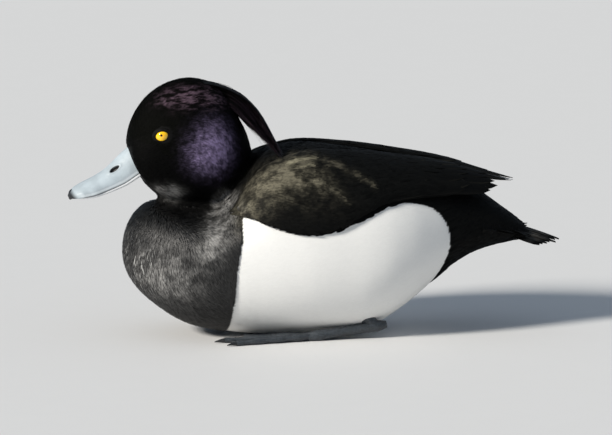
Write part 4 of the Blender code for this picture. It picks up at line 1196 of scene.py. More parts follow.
def upper_bill_form():
    """The upper bill, with the nostrils sunk in and a lip along its cutting edge."""
    along = bill_rows(-10, BILL_LENGTH, 220)[:, None]
    turn = np.linspace(0, math.pi, 101)[None]
    mouth, culmen, width = MOUTH(along), CULMEN(along), BILL_HALF_WIDTH(along)
    height = (culmen - mouth) * np.sin(turn) ** 0.85
    up = mouth + height
    flank = between(1.0, 0.4, np.sin(turn))
    before = along - NOSTRIL[0]
    slot = np.hypot(before / 3.1, up - NOSTRIL[1] + 0.08 * before)
    out = -1.7 * between(1.05, 0.6, slot) + 0.22 * hump(slot - 1.35, 0.28)
    side = bill_side(along) * flank
    out = out - side * (0.12 * hump(height - 2.0, 0.5) + 0.25 * between(0.6, 0.1, height))
    points = bill_point(along, np.cos(turn) * (width + out), up + np.sin(turn) * out)
    across = np.linspace(-1, 1, 14)[None, 1:-1]
    roof = bill_point(along, across * width * 0.93, mouth + 0.35 * (1 - across**2) + 0.05)
    return closed_loft(np.concatenate([points, roof], 1)), (along, turn, height, slot)


def lower_bill_form():
    """The lower bill, and how pale it is painted, as a highlight along its edge: most along its sides."""
    along = bill_rows(-10, 41.5, 70)[:, None]
    share = (along + 10) / 51.5
    width = np.maximum(BILL_HALF_WIDTH(along) - 0.05, 1) * np.sqrt(np.maximum(1 - share**8, 0.02))
    top = MOUTH(along) - 0.2
    depth = 1.5 + 1.2 * (1 - share) ** 1.5
    turn = np.linspace(0, math.pi, 41)[None]
    squared = np.sign(np.cos(turn)) * np.abs(np.cos(turn)) ** 0.35
    under = bill_point(along, width * squared, top - depth * np.sin(turn) ** 0.6)
    across = np.linspace(-1, 1, 12)[None, 1:-1]
    # Painted highlight: the lower bill's sides are painted nearly white, standing in for light along its edge
    side = between(0.45, 0.9, np.abs(np.cos(turn))) * between(-6, 6, along)
    pale = np.concatenate([0.15 + 0.85 * side, 0 * along + 0 * across], 1)
    form = closed_loft(np.concatenate([under, bill_point(along, across * width, top + 0 * across)], 1))
    return form, np.append(pale.ravel(), [0, 0])


def nail_form():
    x, y, z = np.moveaxis(sphere_directions(30, 40)[..., [2, 0, 1]], -1, 0)
    along = BILL_LENGTH - 3.3 + x * NAIL_LENGTH / 2
    return closed_loft(bill_point(along, y * NAIL_WIDTH / 2, 8.3 + z * 2.5 - 1.8 * np.maximum(x, 0) ** 2))


def eye_frame(side):
    axis = eye_axis(side)
    forward = unit(np.cross(axis, [0, 0, 1.0]))
    return axis, forward, np.array([0, 0, 1.0])


def eyeball_form(side):
    """The eyeball, with the cornea's bulge, and each point's distance from the line of the gaze."""
    axis, forward, upward = eye_frame(side)
    polar = np.linspace(0.02, math.pi - 0.02, 64)[:, None]
    turn = turns(64)[None]
    radius = EYE_RADIUS + 0.35 * hump(polar, 0.55) - 0.12 + 0 * turn
    radial = np.cos(turn)[..., None] * forward + np.sin(turn)[..., None] * upward
    directions = np.cos(polar)[..., None] * axis + np.sin(polar)[..., None] * radial
    form = closed_loft(eye_centre(side) + radius[..., None] * directions)
    gaze = unit(axis + np.array([-0.03, 0, 0.12]))
    outward = form[0] - eye_centre(side)
    reach = outward @ gaze
    off_axis = np.where(reach > 0, distance(outward, reach[:, None] * gaze), 9)
    return form, off_axis, np.append((turn + 0 * polar).ravel(), [0, 0])


# The lids' section: distance out from the opening's edge, share of the way from the eyeball's to the head's
# surface, and height over it
LID_SECTION = (
    (0.0, 0, -0.45), (0.02, 0, 0.02), (0.16, 0, 0.2), (0.45, 0.12, 0.24), (0.9, 0.4, 0.2), (1.5, 0.75, 0.05),
    (2.1, 1, -0.1), (2.3, 1, -0.8), (1.2, 0.9, -1.2), (0.2, 0.4, -1.1),
)
LID_SURFACE = 3.1  # the head's surface over the eyeball's centre


def lid_form(side):
    """Both eyelids as one soft ring that narrows to a corner in front and behind."""
    axis, forward, upward = eye_frame(side)
    lean = LID_TILT * side
    forward, upward = (forward * math.cos(lean) + upward * math.sin(lean),
                       upward * math.cos(lean) - forward * math.sin(lean))
    turn = turns(72)
    corner = 1 + 0.07 * np.abs(np.cos(turn)) ** 9
    rings = []
    for a, stretch in zip(turn, corner):
        ring = []
        reach = math.hypot(LID_OPENING[0] * stretch * math.cos(a), LID_OPENING[1] * math.sin(a))
        ball = math.sqrt(EYE_RADIUS**2 - reach**2)
        for out, share, over in LID_SECTION:
            wide, tall = LID_OPENING[0] * stretch + out, LID_OPENING[1] + out
            high = ball + (LID_SURFACE - ball) * share + over
            fold = 0.10 * math.sin(9 * a) * between(0.6, 1.6, out)
            ring.append(axis * (high + fold) + forward * (wide * math.cos(a)) + upward * (tall * math.sin(a)))
        rings.append(ring)
    rings = eye_centre(side) + np.array(rings)
    rows, columns = rings.shape[:2]
    quads = grid_quads(rows + 1, columns, closed=True) % (rows * columns)
    return rings.reshape(-1, 3), quads, np.empty((0, 3), int)


def tube_form(path, radii, around=18, floor=0.05):
    """A round form along a path, pressed flat where it meets the floor."""
    path, radii = np.asarray(path, float), np.asarray(radii, float)
    along = unit(np.gradient(path, axis=0))
    across = unit(np.cross(along, [0, 0, 1.0]))
    up = np.cross(across, along)
    turn = turns(around)[None, :, None]
    rings = path[:, None] + radii[:, None, None] * (np.cos(turn) * across[:, None] + np.sin(turn) * up[:, None])
    rings[..., 2] = np.maximum(rings[..., 2], floor)
    return closed_loft(rings)


def between_points(first, second, shares):
    return first + (second - first) * np.asarray(shares, float)[:, None]


def foot_forms(side):
    """The shank, the three webbed toes with their scutes, the hind toe, and apart from them the claws."""
    flip = np.array([1, side, 1.0])
    heel, root, thigh = HEEL * flip, TOE_ROOT * flip, THIGH_TOP * flip
    t = np.linspace(-0.2, 1.2, 60)
    scutes = 0.10 * np.abs(np.sin(t * 40))
    skin = [tube_form(between_points(heel, root, t), smooth(SHANK_RADII)(t) + scutes - 0.1)]
    t = np.linspace(0, 1, 12)
    skin.append(tube_form(between_points(heel, thigh, t), 3.3 + 3 * t, floor=0))
    claws, edges = [], []
    for length, outward, joints in TOES:
        turn = math.radians(outward)
        tip = root + np.array([-math.cos(turn) * length, side * math.sin(turn) * length, -1.4])
        t = np.linspace(0, 1, 56)
        knuckles = 1 + 0.16 * np.cos(t * joints * 2 * math.pi)
        scutes = 0.07 * np.abs(np.sin(t * length * 0.9))
        skin.append(tube_form(between_points(root, tip, t), TOE_RADIUS * (1 - 0.35 * t) * knuckles + scutes))
        edges.append((root, tip))
        forward = unit(tip - root)
        t = np.linspace(-0.2, 1, 14)
        path = tip + forward * (CLAW_LENGTH * t)[:, None]
        path[:, 2] += 0.5 * t * (1 - t) - 0.7 * t
        claws.append(tube_form(path, 1.3 * (1 - 0.8 * np.clip(t, 0, 1) ** 1.2), around=12))
    for first, second in zip(edges, edges[1:]):
        skin.append(web_form(first, second))
    t = np.linspace(0, 1, 18)
    start = root + np.array([1, -side * 2, -0.6])
    hind = start + np.stack([HIND_TOE_LENGTH * t, -side * 6 * t, -0.8 * t], -1)
    skin.append(tube_form(hind, 1.9 * np.sqrt(np.maximum(1 - t**3, 0.05))))
    return skin, claws


def web_form(first, second):
    """The skin between two toes, with fine folds, and its front edge drawn back in a curve."""
    rows, columns = 26, 22
    reach = np.linspace(0.08, 1, rows)[:, None]
    f = np.linspace(0, 1, columns)[None]
    share = reach * 0.96 * (1 - 0.16 * np.sin(math.pi * f) * reach**2)
    a = first[0] + (first[1] - first[0]) * share[..., None]
    b = second[0] + (second[1] - second[0]) * share[..., None]
    sheet = a + (b - a) * f[..., None]
    folds = 0.12 * np.sin(f * 22) * np.sin(math.pi * f)
    top, bottom = sheet.copy(), sheet.copy()
    top[..., 2] = 1.25 + folds
    bottom[..., 2] = 0.55 + folds
    return closed_loft(np.concatenate([top, bottom[:, ::-1]], 1))


def wing_finish(colours):
    """Wing feathers: brown-black, olive brown at the shoulder, finely peppered, with faint pale fringes, and a
    pale edge of painted reflection on a feather of the wing's tip.
    """
    finish = Finish("wing_plumage", Specular_IOR_Level=0.06)
    centre, across, along, barbs = finish.vane()
    tone = finish.attribute("tone")
    colour = finish.mix(colours.back, scaled(colours.back, 1.8), tone)
    pepper = finish.noise(0.0007, 2, 0.7).step(0.52, 0.66)
    patches = finish.noise(0.009, 3, 0.6).step(0.30, 0.72)
    warm = finish.mix(colours.olive, scaled(colours.olive, 1.35), pepper)
    olive = finish.attribute("olive") * (0.30 + 0.95 * patches) * (0.6 + 0.4 * tone)
    colour = finish.mix(colour, warm, olive.step(0.05, 0.85))
    fringe = centre.step(0.72, 0.98) * along.step(0.45, 0.9)
    colour = finish.mix(colour, scaled(colours.olive, 2.6), fringe * 0.05 * tone)
    colour = finish.mix(colour, (0.004, 0.004, 0.004), (1 - centre.step(0.0, 0.10)) * 0.5)
    # Painted reflection: a pale edge, brownish at the root and blue-grey towards the tip, on the vane that the
    # edge mark picks
    pale = finish.mix((0.20, 0.17, 0.12), (0.34, 0.38, 0.44), along.step(0.55, 0.85))
    edge = finish.attribute("edge") * across.step(0.70, 0.86) * along.step(0.3, 0.6)
    colour = finish.mix(colour, pale, edge)
    rough = 0.58 + 0.10 * (tone - 0.5) + 0.06 * pepper
    finish.surface(Base_Color=colour, Roughness=rough, Normal=finish.bump(barbs, 0.00008, 0.22))
    return finish


def tail_finish(colours):
    """Tail feathers: black-brown, paler along the vanes' middles, with dark tips."""
    finish = Finish("tail_plumage", Specular_IOR_Level=0.08)
    centre, _, along, barbs = finish.vane()
    tone = finish.attribute("tone")
    brown = (0.070, 0.066, 0.058)
    streaks = finish.noise(0.0015, 2, 0.6, finish.place((0.08, 1, 0.5))).step(0.35, 0.65)
    shown = along.step(0.2, 0.5) * (1 - along.step(0.74, 0.94)) * (0.15 + 0.85 * streaks)
    colour = finish.mix(colours.back, brown, shown * finish.attribute("flight"))
    colour = finish.mix(colour, (0.006, 0.006, 0.008), 1 - centre.step(0, 0.09))
    finish.surface(Base_Color=colour, Roughness=0.55 + 0.1 * tone, Normal=finish.bump(barbs, 0.00008, 0.6))
    return finish


def crest_finish(colours):
    """Crest locks: black, with plum-brown tips: the locks' own gloss, painted as colour."""
    finish = Finish("crest_plumage", Specular_IOR_Level=0.3)
    _, along = finish.uv("Feather")
    tone = finish.attribute("tone")
    glossy = along.step(0.1, 0.8) * tone.step(0.45, 1.0) * 0.5
    colour = finish.mix(colours.head, scaled(colours.plum, 1.2), glossy)
    finish.surface(Base_Color=colour, Roughness=0.38 + 0.15 * tone)
    return finish


def bill_finish(colours):
    """Bill horn: pale blue-grey, mottled, with a painted highlight along the cutting edge, painted shade in the
    mouth's line and the nostril, and dark at the tip.
    """
    finish = Finish("bill_horn", Specular_IOR_Level=0.35, Coat_Roughness=0.3)
    blue = colours.bill
    cloud = finish.noise(0.011, 4, 0.6)
    colour = finish.mix(scaled(blue, 0.82), scaled(blue, 1.06), cloud.step(0.3, 0.7))
    fleck = finish.noise(0.0012, 3, 0.6, finish.place((0.5, 1, 1))).step(0.60, 0.74)
    colour = finish.mix(colour, scaled(blue, 0.62), fleck * 0.22)
    # lip is a painted highlight along the cutting edges, groove painted shade in the mouth's gap, nostril painted
    # shade in its hollow; tip is the bill's own dark tip
    for mark, shade, share in (("lip", (0.88, 0.90, 0.92), 1), ("groove", (0.012, 0.013, 0.016), 0.75),
                               ("tip", (0.010, 0.012, 0.014), 1), ("nostril", (0.004, 0.004, 0.005), 1)):
        colour = finish.mix(colour, shade, finish.attribute(mark) * share)
    pits = finish.noise(0.0009, 3, 0.6) * 0.6 + finish.noise(0.004, 2) * 0.8
    finish.surface(Base_Color=colour, Roughness=0.46 + 0.16 * cloud, Coat_Weight=0.05 + 0.1 * cloud,
                   Normal=finish.bump(pits, 0.00012, 0.5))
    return finish


def nail_finish():
    finish = Finish("nail_horn", Specular_IOR_Level=0.5)
    cloud = finish.noise(0.002, 4, 0.6)
    grain = finish.noise(0.0006, 3, 0.6, finish.place((0.3, 1, 1)))
    colour = finish.mix((0.008, 0.009, 0.011), (0.045, 0.050, 0.056), cloud.step(0.45, 0.8))
    finish.surface(Base_Color=colour, Roughness=0.3 + 0.2 * grain, Normal=finish.bump(grain, 0.00012, 0.5))
    return finish


def eye_finish(yellow):
    """The eye: a pupil, a golden iris with fine rays and a dark rim, all under a wet coat."""
    finish = Finish("eye", Roughness=0.08, Coat_Roughness=0.02, Specular_IOR_Level=0.5)
    off_axis, turn = finish.attribute("off_axis"), finish.attribute("turn")
    rays = (turn * 47).sine() * 0.25 + (turn * 83 + off_axis * 3).sine() * 0.25 + 0.5
    colour = finish.mix(scaled(yellow, 1, 0.86, 1), yellow, off_axis.step(0.8, 2.4) * (0.7 + 0.3 * rays))
    colour = finish.mix(colour, scaled(yellow, 0.8, 0.48, 0.2), off_axis.step(3.1, 3.9) * 0.5)
    colour = finish.mix(colour, (0.01, 0.006, 0.004), off_axis.step(3.75, 4.05))
    colour = finish.mix((0.004, 0.002, 0.002), colour, off_axis.step(0.66, 0.82))
    finish.surface(Base_Color=colour, Coat_Weight=1.0)
    return finish


def skin_finish(name, colour, roughness, fold_size, gloss=0.45):
    """Bare skin: lids, feet and webs, with fine folds."""
    finish = Finish(name, Specular_IOR_Level=gloss)
    folds = finish.noise(fold_size, 4, 0.6)
    spread = {"Vector": finish.place(), "Scale": 1 / (fold_size * 1.2)}
    cells = finish.node("ShaderNodeTexVoronoi", inputs=spread)
    colour = finish.mix(scaled(colour, 0.6), scaled(colour, 1.35), folds.step(0.3, 0.7))
    rough = roughness + 0.15 * folds
    finish.surface(Base_Color=colour, Roughness=rough, Normal=finish.bump(cells, 0.0002, 0.6))
    return finish


def floor_finish(colour):
    finish = Finish("floor", Roughness=0.7, Specular_IOR_Level=0.2)
    grain = finish.noise(0.02, 3)
    finish.surface(Base_Color=finish.mix(scaled(colour, 0.985), colour, grain))
    return finish


def look(default, name, description):
    return FloatVectorProperty(name=name, description=description, default=default, subtype="COLOR", size=3,
                               min=0, max=1)


class DuckColours(bpy.types.PropertyGroup):
    """The plumage's and bare parts' colours."""

    head: look((0.0011, 0.0012, 0.0009), "Head", "Black of the head and crest")
    violet: look((0.320, 0.250, 0.440), "Violet gloss", "Gloss of the cheek")
    plum: look((0.170, 0.112, 0.150), "Plum gloss", "Gloss along the crown")
    back: look((0.0022, 0.0023, 0.0022), "Back", "Black of the back, wings and tail")
    breast: look((0.0100, 0.0100, 0.0102), "Breast", "Black of the neck and breast")
    olive: look((0.150, 0.137, 0.100), "Shoulder", "Olive brown of the shoulder")
    # Colour of the painted sheen on the breast, the shoulder band and the chin
    grey: look((0.290, 0.285, 0.277), "Breast sheen", "Grey sheen low on the breast")
    white: look((0.80, 0.80, 0.785), "White", "White of the flanks and belly")
    bill: look((0.41, 0.475, 0.52), "Bill", "Blue-grey of the bill")
    eye: look((1.0, 0.58, 0.0), "Iris", "Golden yellow of the iris")
    foot: look((0.035, 0.042, 0.050), "Feet", "Blue-grey of the legs and webs")


class DuckSizes(bpy.types.PropertyGroup):
    """How fine the skin and the plumage are."""

    voxel: FloatProperty(name="Skin cell", description="Size of the skin's faces", default=0.0013, min=0.0008,
                         max=0.004, unit="LENGTH", precision=4)
    tufts: IntProperty(name="Tufts a coat", description="The most hair-like tufts in one coat", default=19500,
                       min=500, max=19900)
    breast_tufts: IntProperty(name="Breast tufts", description="The most tufts on each side of the breast",
                              default=15000, min=500, max=19900)
    blades: IntProperty(name="Feathers a coat", description="The most small feathers in one coat",
                        default=12200, min=500, max=12400)
    crest_locks: IntProperty(name="Crest locks", description="Number of fine locks in the crest", default=520,
                             min=40, max=1500)
    tail_feathers: IntProperty(name="Tail feathers", description="Number of tail feathers", default=14, min=8,
                               max=20)


class DuckStage(bpy.types.PropertyGroup):
    """The camera, the lights and the floor."""

    azimuth: FloatProperty(name="Azimuth", description="The camera's turn round the duck",
                           default=math.radians(-8), subtype="ANGLE")
    elevation: FloatProperty(name="Elevation", description="The camera's height as an angle",
                             default=math.radians(9), subtype="ANGLE")
    distance: FloatProperty(name="Distance", description="From the camera to the duck", default=6, min=1,
                            unit="LENGTH")
    view_width: FloatProperty(name="View width", description="Width of the view at the duck", default=0.3623,
                              min=0.05, unit="LENGTH")
    floor: look((0.72, 0.72, 0.72), "Floor", "Colour of the floor")
    key: FloatProperty(name="Key light", description="Strength of the key light", default=4.7, min=0)
    key_spread: FloatProperty(name="Key spread", description="How soft the key light's shadows are",
                              default=math.radians(12), subtype="ANGLE")
    sky: FloatProperty(name="Sky", description="Strength of the light from all round", default=0.33, min=0)


def body_plumage(colours, name, black="back", roughness=0.6, barbs=0.3, gloss=0.05):
    shades = [tuple(getattr(colours, shade)) for shade in (black, "violet", "plum", "olive", "grey", "white")]
    return plumage_finish(name, *shades, roughness, barbs, gloss)


class DuckOperator:
    """What the duck's operators share."""

    bl_options = {"REGISTER", "UNDO"}

    def need(self, name):
        if name not in bpy.data.objects:
            raise RuntimeError(f"the duck's {name} has to be made first")
        return bpy.data.objects[name]


class DUCK_OT_skin(DuckOperator, bpy.types.Operator):
    """Make the skin over the head, neck, breast and body"""

    bl_idname = "duck.skin"
    bl_label = "Skin"

    def execute(self, context):
        make_skin(context.scene.duck_sizes.voxel, body_plumage(context.scene.duck_colours, "skin", barbs=0))
        return {"FINISHED"}


class DUCK_OT_head_plumage(DuckOperator, bpy.types.Operator):
    """Grow the head's silky plumage"""

    bl_idname = "duck.head_plumage"
    bl_label = "Head plumage"

    def execute(self, context):
        skin = Skin(self.need("skin").data)
        finish = body_plumage(context.scene.duck_colours, "head_plumage", "head", 0.6, 0.35, 0.03)
        for name, side, seed in (("head_tufts_left", -1, 3), ("head_tufts_right", 1, 4)):
            tufts(name, skin, finish, "head", 0.6, context.scene.duck_sizes.tufts,
                  where=lambda p: is_head(p) & ~in_bill(p) & clear_of_eyes(p) & (p[:, 1] * side >= 0),
                  lie=head_lie, length=head_length,
                  width=lambda p: 0.26 + 0.20 * between(6, 34, distance(p, BILL_ROOT)),
                  lift=lambda p: 0.95 * coat_depth(p), seed=seed * 10, relief=0.45, head=True)
        return {"FINISHED"}


class DUCK_OT_breast_plumage(DuckOperator, bpy.types.Operator):
    """Grow the neck's and the breast's fine plumage"""

    bl_idname = "duck.breast_plumage"
    bl_label = "Breast plumage"

    def execute(self, context):
        skin = Skin(self.need("skin").data)
        finish = body_plumage(context.scene.duck_colours, "breast_plumage", "breast", 0.42, 0.4, 0.3)
        for name, side, seed in (("breast_tufts_left", -1, 50), ("breast_tufts_right", 1, 55)):
            tufts(name, skin, finish, "neck", 0.86, context.scene.duck_sizes.breast_tufts,
                  where=lambda p: before_white(p) & (p[:, 1] * side >= 0),
                  lie=breast_lie, length=lambda p: 6.5 + 0 * p[:, 0], width=lambda p: 0.45 + 0 * p[:, 0],
                  lift=lambda p: 0.95 * coat_depth(p), seed=seed, relief=0.55, trim=True)
        return {"FINISHED"}


class DUCK_OT_white_plumage(DuckOperator, bpy.types.Operator):
    """Grow the white plumage of the flanks and belly"""

    bl_idname = "duck.white_plumage"
    bl_label = "White plumage"

    def execute(self, context):
        skin = Skin(self.need("skin").data)
        finish = body_plumage(context.scene.duck_colours, "white_plumage", "back", 0.55, 0, 0.3)
        for name, side, seed in (("white_tufts_left", -1, 70), ("white_tufts_right", 1, 75)):
            tufts(name, skin, finish, "belly", 0.92, context.scene.duck_sizes.tufts,
                  where=lambda p: is_white(p) & (p[:, 1] * side >= 0),
                  lie=body_lie, length=lambda p: 8.5 + 0 * p[:, 0], width=lambda p: 0.7 + 0 * p[:, 0],
                  lift=lambda p: 0.4 + 0 * p[:, 0], seed=seed, ridge=0.13, ruffle=0.3, relief=0.06,
                  sink=0.1, droop=0.55, white=True, trim=True)
        return {"FINISHED"}


class DUCK_OT_back_plumage(DuckOperator, bpy.types.Operator):
    """Grow the black plumage of the back, rump and vent"""

    bl_idname = "duck.back_plumage"
    bl_label = "Back plumage"

    def execute(self, context):
        skin = Skin(self.need("skin").data)
        finish = body_plumage(context.scene.duck_colours, "back_plumage")
        tufts("back_tufts", skin, finish, "torso", 1.25, context.scene.duck_sizes.blades, where=behind_white,
              lie=body_lie, length=lambda p: 8.5 + 9 * between(95, 128, p[:, 0]),
              width=lambda p: 1.15 + 0.9 * between(95, 128, p[:, 0]),
              lift=lambda p: 0.95 * coat_depth(p), seed=9, shape="blade", ridge=0.15, relief=0.3)
        return {"FINISHED"}


class DUCK_OT_wings(DuckOperator, bpy.types.Operator):
    """Make both folded wings, feather by feather"""

    bl_idname = "duck.wings"
    bl_label = "Wings"

    def execute(self, context):
        finish = wing_finish(context.scene.duck_colours)
        core = body_plumage(context.scene.duck_colours, "wing_core", barbs=0)
        soft = body_plumage(context.scene.duck_colours, "shoulder_plumage")
        for name, side, seed in (("wing_left", -1, 31), ("wing_right", 1, 32)):
            draw = np.random.default_rng(seed)
            tops, bottoms, shading, edges = wing_vanes(side, draw)
            mesh, each = vane_mesh(name + "_feathers", tops, bottoms, 11)
            points = np.concatenate([tops.reshape(len(tops), -1, 3), bottoms.reshape(len(tops), -1, 3)], 1)
            set_markings(mesh, points.reshape(-1, 3))
            set_attribute(mesh, "tone", np.repeat(draw.random(len(tops)), each))
            # edge: which vane carries the painted reflection
            set_attribute(mesh, "edge", np.repeat(edges, each))
            new_piece(name + "_feathers", mesh, finish, (name,), sharp=180)
            shading = shading.reshape(len(tops), -1, 3)
            set_shading(mesh, np.concatenate([shading, -shading], 1).reshape(-1, 3))
            form = wing_core(side)
            mesh = closed_mesh(name + "_core", form)
            set_markings(mesh, form[0])
            set_attribute(mesh, "tone", np.full(len(form[0]), 0.3))
            new_piece(name + "_core", mesh, core, (name,))
            shoulder_tufts(name.replace("wing", "shoulder") + "_tufts", side, soft, 7000, seed + 10)
        return {"FINISHED"}


class DUCK_OT_tail(DuckOperator, bpy.types.Operator):
    """Make the fan of tail feathers"""

    bl_idname = "duck.tail"
    bl_label = "Tail"

    def execute(self, context):
        tops, bottoms = tail_vanes(context.scene.duck_sizes.tail_feathers)
        mesh, each = vane_mesh("tail_feathers", tops, bottoms, 10)
        tones = np.random.default_rng(6).random(len(tops))
        flights = np.arange(len(tops)) < context.scene.duck_sizes.tail_feathers
        set_attribute(mesh, "flight", np.repeat(flights, each))
        set_attribute(mesh, "tone", np.repeat(tones, each))
        new_piece("tail_feathers", mesh, tail_finish(context.scene.duck_colours), ("tail",), sharp=50)
        return {"FINISHED"}


class DUCK_OT_crest(DuckOperator, bpy.types.Operator):
    """Make the crest's fine locks"""

    bl_idname = "duck.crest"
    bl_label = "Crest"

    def execute(self, context):
        draw = np.random.default_rng(14)
        forms = crest_locks(context.scene.duck_sizes.crest_locks, 24, draw)
        mesh = closed_mesh("crest_locks", together(forms))
        each = len(forms[0][0])
        shares = np.append(np.repeat(np.linspace(0, 1, 12), 3), [0, 1])
        sides = np.append(np.tile([0, 0.5, 1], 12), [0.5, 0.5])
        feather = np.stack([sides, shares], -1)
        set_uv(mesh, "Feather", np.tile(feather, (len(forms), 1)))
        columns = math.ceil(math.sqrt(len(forms)))
        cells = np.stack([np.arange(len(forms)) % columns, np.arange(len(forms)) // columns], -1)
        set_uv(mesh, "OFBake", ((cells[:, None] + 0.05 + 0.9 * feather[None]) / columns).reshape(-1, 2))
        set_attribute(mesh, "tone", np.repeat(draw.random(len(forms)), each))
        finish = crest_finish(context.scene.duck_colours)
        new_piece("crest_locks", mesh, finish, ("crest",), sharp=80)
        return {"FINISHED"}


class DUCK_OT_bill(DuckOperator, bpy.types.Operator):
    """Make the upper and lower bill and the nail at its tip"""

    bl_idname = "duck.bill"
    bl_label = "Bill"

    def execute(self, context):
        horn = bill_finish(context.scene.duck_colours)
        form, (along, _, height, slot) = upper_bill_form()
        mesh = closed_mesh("upper_bill", form)
        side = bill_side(along)
        # lip: painted highlight along the cutting edge; groove: painted shade in the mouth's gap; nostril:
        # painted shade in its hollow; tip: the bill's dark tip
        marks = {
            "lip": 0.22 * side * between(3.2, 1.2, height),
            "groove": side * between(0.75, 0.35, height),
            "nostril": between(1.2, 1.0, slot),
            "tip": between(40.5, 44.5, along - 0.12 * height) + 0 * height,
        }
        below = len(form[0]) - height.size - 2
        rows = height.shape[0]
        for name, values in marks.items():
            values = np.concatenate([values, np.repeat(values[:, :1], below // rows, axis=1)], 1)
            set_attribute(mesh, name, np.append(values.ravel(), [0, values[-1, 0]]))
        new_piece("upper_bill", mesh, horn, ("bill_upper",), sharp=70)
        form, pale = lower_bill_form()
        mesh = closed_mesh("lower_bill", form)
        # The lower bill's painted highlight
        set_attribute(mesh, "lip", pale)
        new_piece("lower_bill", mesh, horn, ("bill_lower",), sharp=70)
        mesh = closed_mesh("nail", nail_form())
        new_piece("nail", mesh, nail_finish(), ("bill_nail",), sharp=70)
        return {"FINISHED"}


class DUCK_OT_eyes(DuckOperator, bpy.types.Operator):
    """Make the eyes and their lids"""

    bl_idname = "duck.eyes"
    bl_label = "Eyes"

    def execute(self, context):
        wet = eye_finish(context.scene.duck_colours.eye)
        lids = skin_finish("lid_skin", (0.0016, 0.0013, 0.0013), 0.6, 0.0005, 0.12)
        for name, side in (("left", -1), ("right", 1)):
            form, off_axis, turn = eyeball_form(side)
            mesh = closed_mesh("eyeball_" + name, form)
            set_attribute(mesh, "off_axis", off_axis)
            set_attribute(mesh, "turn", turn)
            new_piece("eyeball_" + name, mesh, wet, ("eye_" + name,), sharp=180)
            new_piece("lids_" + name, closed_mesh("lids_" + name, lid_form(side)), lids, sharp=180)
        return {"FINISHED"}


class DUCK_OT_feet(DuckOperator, bpy.types.Operator):
    """Make the legs, the webbed feet and the claws"""

    bl_idname = "duck.feet"
    bl_label = "Feet"

    def execute(self, context):
        bare = skin_finish("foot_skin", context.scene.duck_colours.foot, 0.45, 0.0012)
        horn = nail_finish()
        for name, side in (("left", -1), ("right", 1)):
            skin, claws = foot_forms(side)
            leg = "leg_" + name
            new_piece("foot_" + name, closed_mesh("foot_" + name, together(skin)), bare, (leg,), sharp=60)
            new_piece("claws_" + name, closed_mesh("claws_" + name, together(claws)), horn, sharp=60)
        return {"FINISHED"}


KEY_DIRECTION = (-0.82, -0.43, 0.53)  # from the duck to the key light
KEY_COLOUR, SKY_COLOUR = (1.0, 0.95, 0.87), (0.70, 0.83, 1.0, 1)
AIM_HEIGHT, AIM_RIGHT, AIM_UP = 0.043, 0.0095, 0.0246  # the view's middle: height, and shift in the frame
FLOOR_RINGS = (20000, 300, 5)  # radii, in millimetres


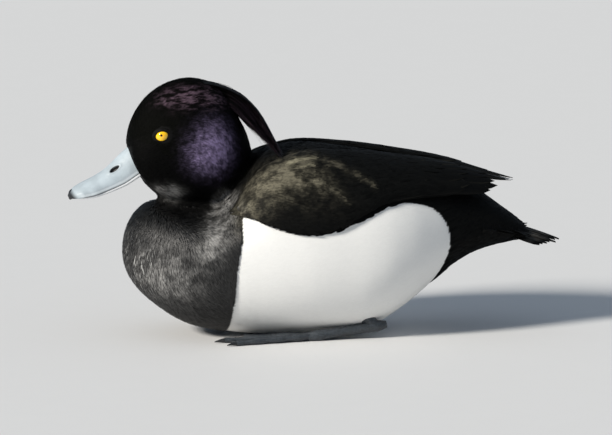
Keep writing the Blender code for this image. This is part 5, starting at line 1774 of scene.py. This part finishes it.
class DUCK_OT_stage(DuckOperator, bpy.types.Operator):
    """Make the floor, the lights and the camera"""

    bl_idname = "duck.stage"
    bl_label = "Stage"

    def execute(self, context):
        stage = context.scene.duck_stage
        a, e = stage.azimuth, stage.elevation
        back = Vector((math.sin(a) * math.cos(e), -math.cos(a) * math.cos(e), math.sin(e)))
        right = Vector((math.cos(a), math.sin(a), 0))
        aim = Vector((0, 0, AIM_HEIGHT)) + right * AIM_RIGHT + back.cross(right) * AIM_UP
        lens = bpy.data.cameras.new("camera")
        lens.sensor_width = 36
        lens.lens = 36 * stage.distance / stage.view_width
        lens.clip_end = 100
        camera = bpy.data.objects.new("camera", lens)
        context.scene.collection.objects.link(camera)
        camera.location = aim + back * stage.distance
        camera.rotation_euler = (-back).to_track_quat("-Z", "Y").to_euler()
        context.scene.camera = camera

        turn = turns(96)
        circle = np.stack([np.cos(turn), np.sin(turn), 0 * turn], -1)
        rings = [circle * radius + (0, 0, STAGE_DEPTH) for radius in FLOOR_RINGS]
        points = np.concatenate([*rings, [[0, 0, STAGE_DEPTH]]])
        fan = [(192 + k, 192 + (k + 1) % 96, 288) for k in range(96)]
        floor = bpy.data.objects.new("floor", new_mesh("floor", points, grid_quads(3, 96, closed=True), fan))
        floor.data.materials.append(floor_finish(tuple(stage.floor)).material)
        context.scene.collection.objects.link(floor)

        data = bpy.data.lights.new("key", "SUN")
        data.energy, data.angle, data.color = stage.key, stage.key_spread, KEY_COLOUR
        light = bpy.data.objects.new("key", data)
        light.rotation_euler = Vector(KEY_DIRECTION).to_track_quat("Z", "Y").to_euler()
        context.scene.collection.objects.link(light)
        world = bpy.data.worlds.new("studio")
        world.use_nodes = True
        light_round = world.node_tree.nodes["Background"].inputs
        light_round["Color"].default_value, light_round["Strength"].default_value = SKY_COLOUR, stage.sky
        context.scene.world = world
        context.scene.view_settings.view_transform = "Standard"
        return {"FINISHED"}


OPERATORS = (
    DUCK_OT_skin, DUCK_OT_head_plumage, DUCK_OT_breast_plumage, DUCK_OT_white_plumage, DUCK_OT_back_plumage,
    DUCK_OT_wings, DUCK_OT_tail, DUCK_OT_crest, DUCK_OT_bill, DUCK_OT_eyes, DUCK_OT_feet, DUCK_OT_stage,
)
GROUPS = {"duck_colours": DuckColours, "duck_sizes": DuckSizes, "duck_stage": DuckStage}


class DUCK_PT_panel(bpy.types.Panel):
    """The duck's pieces, and the sizes and colours to make them with"""

    bl_label = "Tufted duck"
    bl_space_type = "VIEW_3D"
    bl_region_type = "UI"
    bl_category = "Duck"

    def draw(self, context):
        for operator in OPERATORS:
            self.layout.operator(operator.bl_idname)
        for name, group in GROUPS.items():
            box = self.layout.box()
            box.label(text=group.__doc__)
            for prop in group.__annotations__:
                box.prop(getattr(context.scene, name), prop)


def register():
    for group in GROUPS.values():
        bpy.utils.register_class(group)
    for made in (*OPERATORS, DUCK_PT_panel):
        bpy.utils.register_class(made)
    for name, group in GROUPS.items():
        setattr(bpy.types.Scene, name, PointerProperty(type=group))


def unregister():
    for name in GROUPS:
        delattr(bpy.types.Scene, name)
    for made in (DUCK_PT_panel, *reversed(OPERATORS), *reversed(GROUPS.values())):
        bpy.utils.unregister_class(made)


def main():
    register()
    for operator in OPERATORS:
        getattr(bpy.ops.duck, operator.bl_idname.split(".")[1])()


if __name__ == "__main__":
    main()
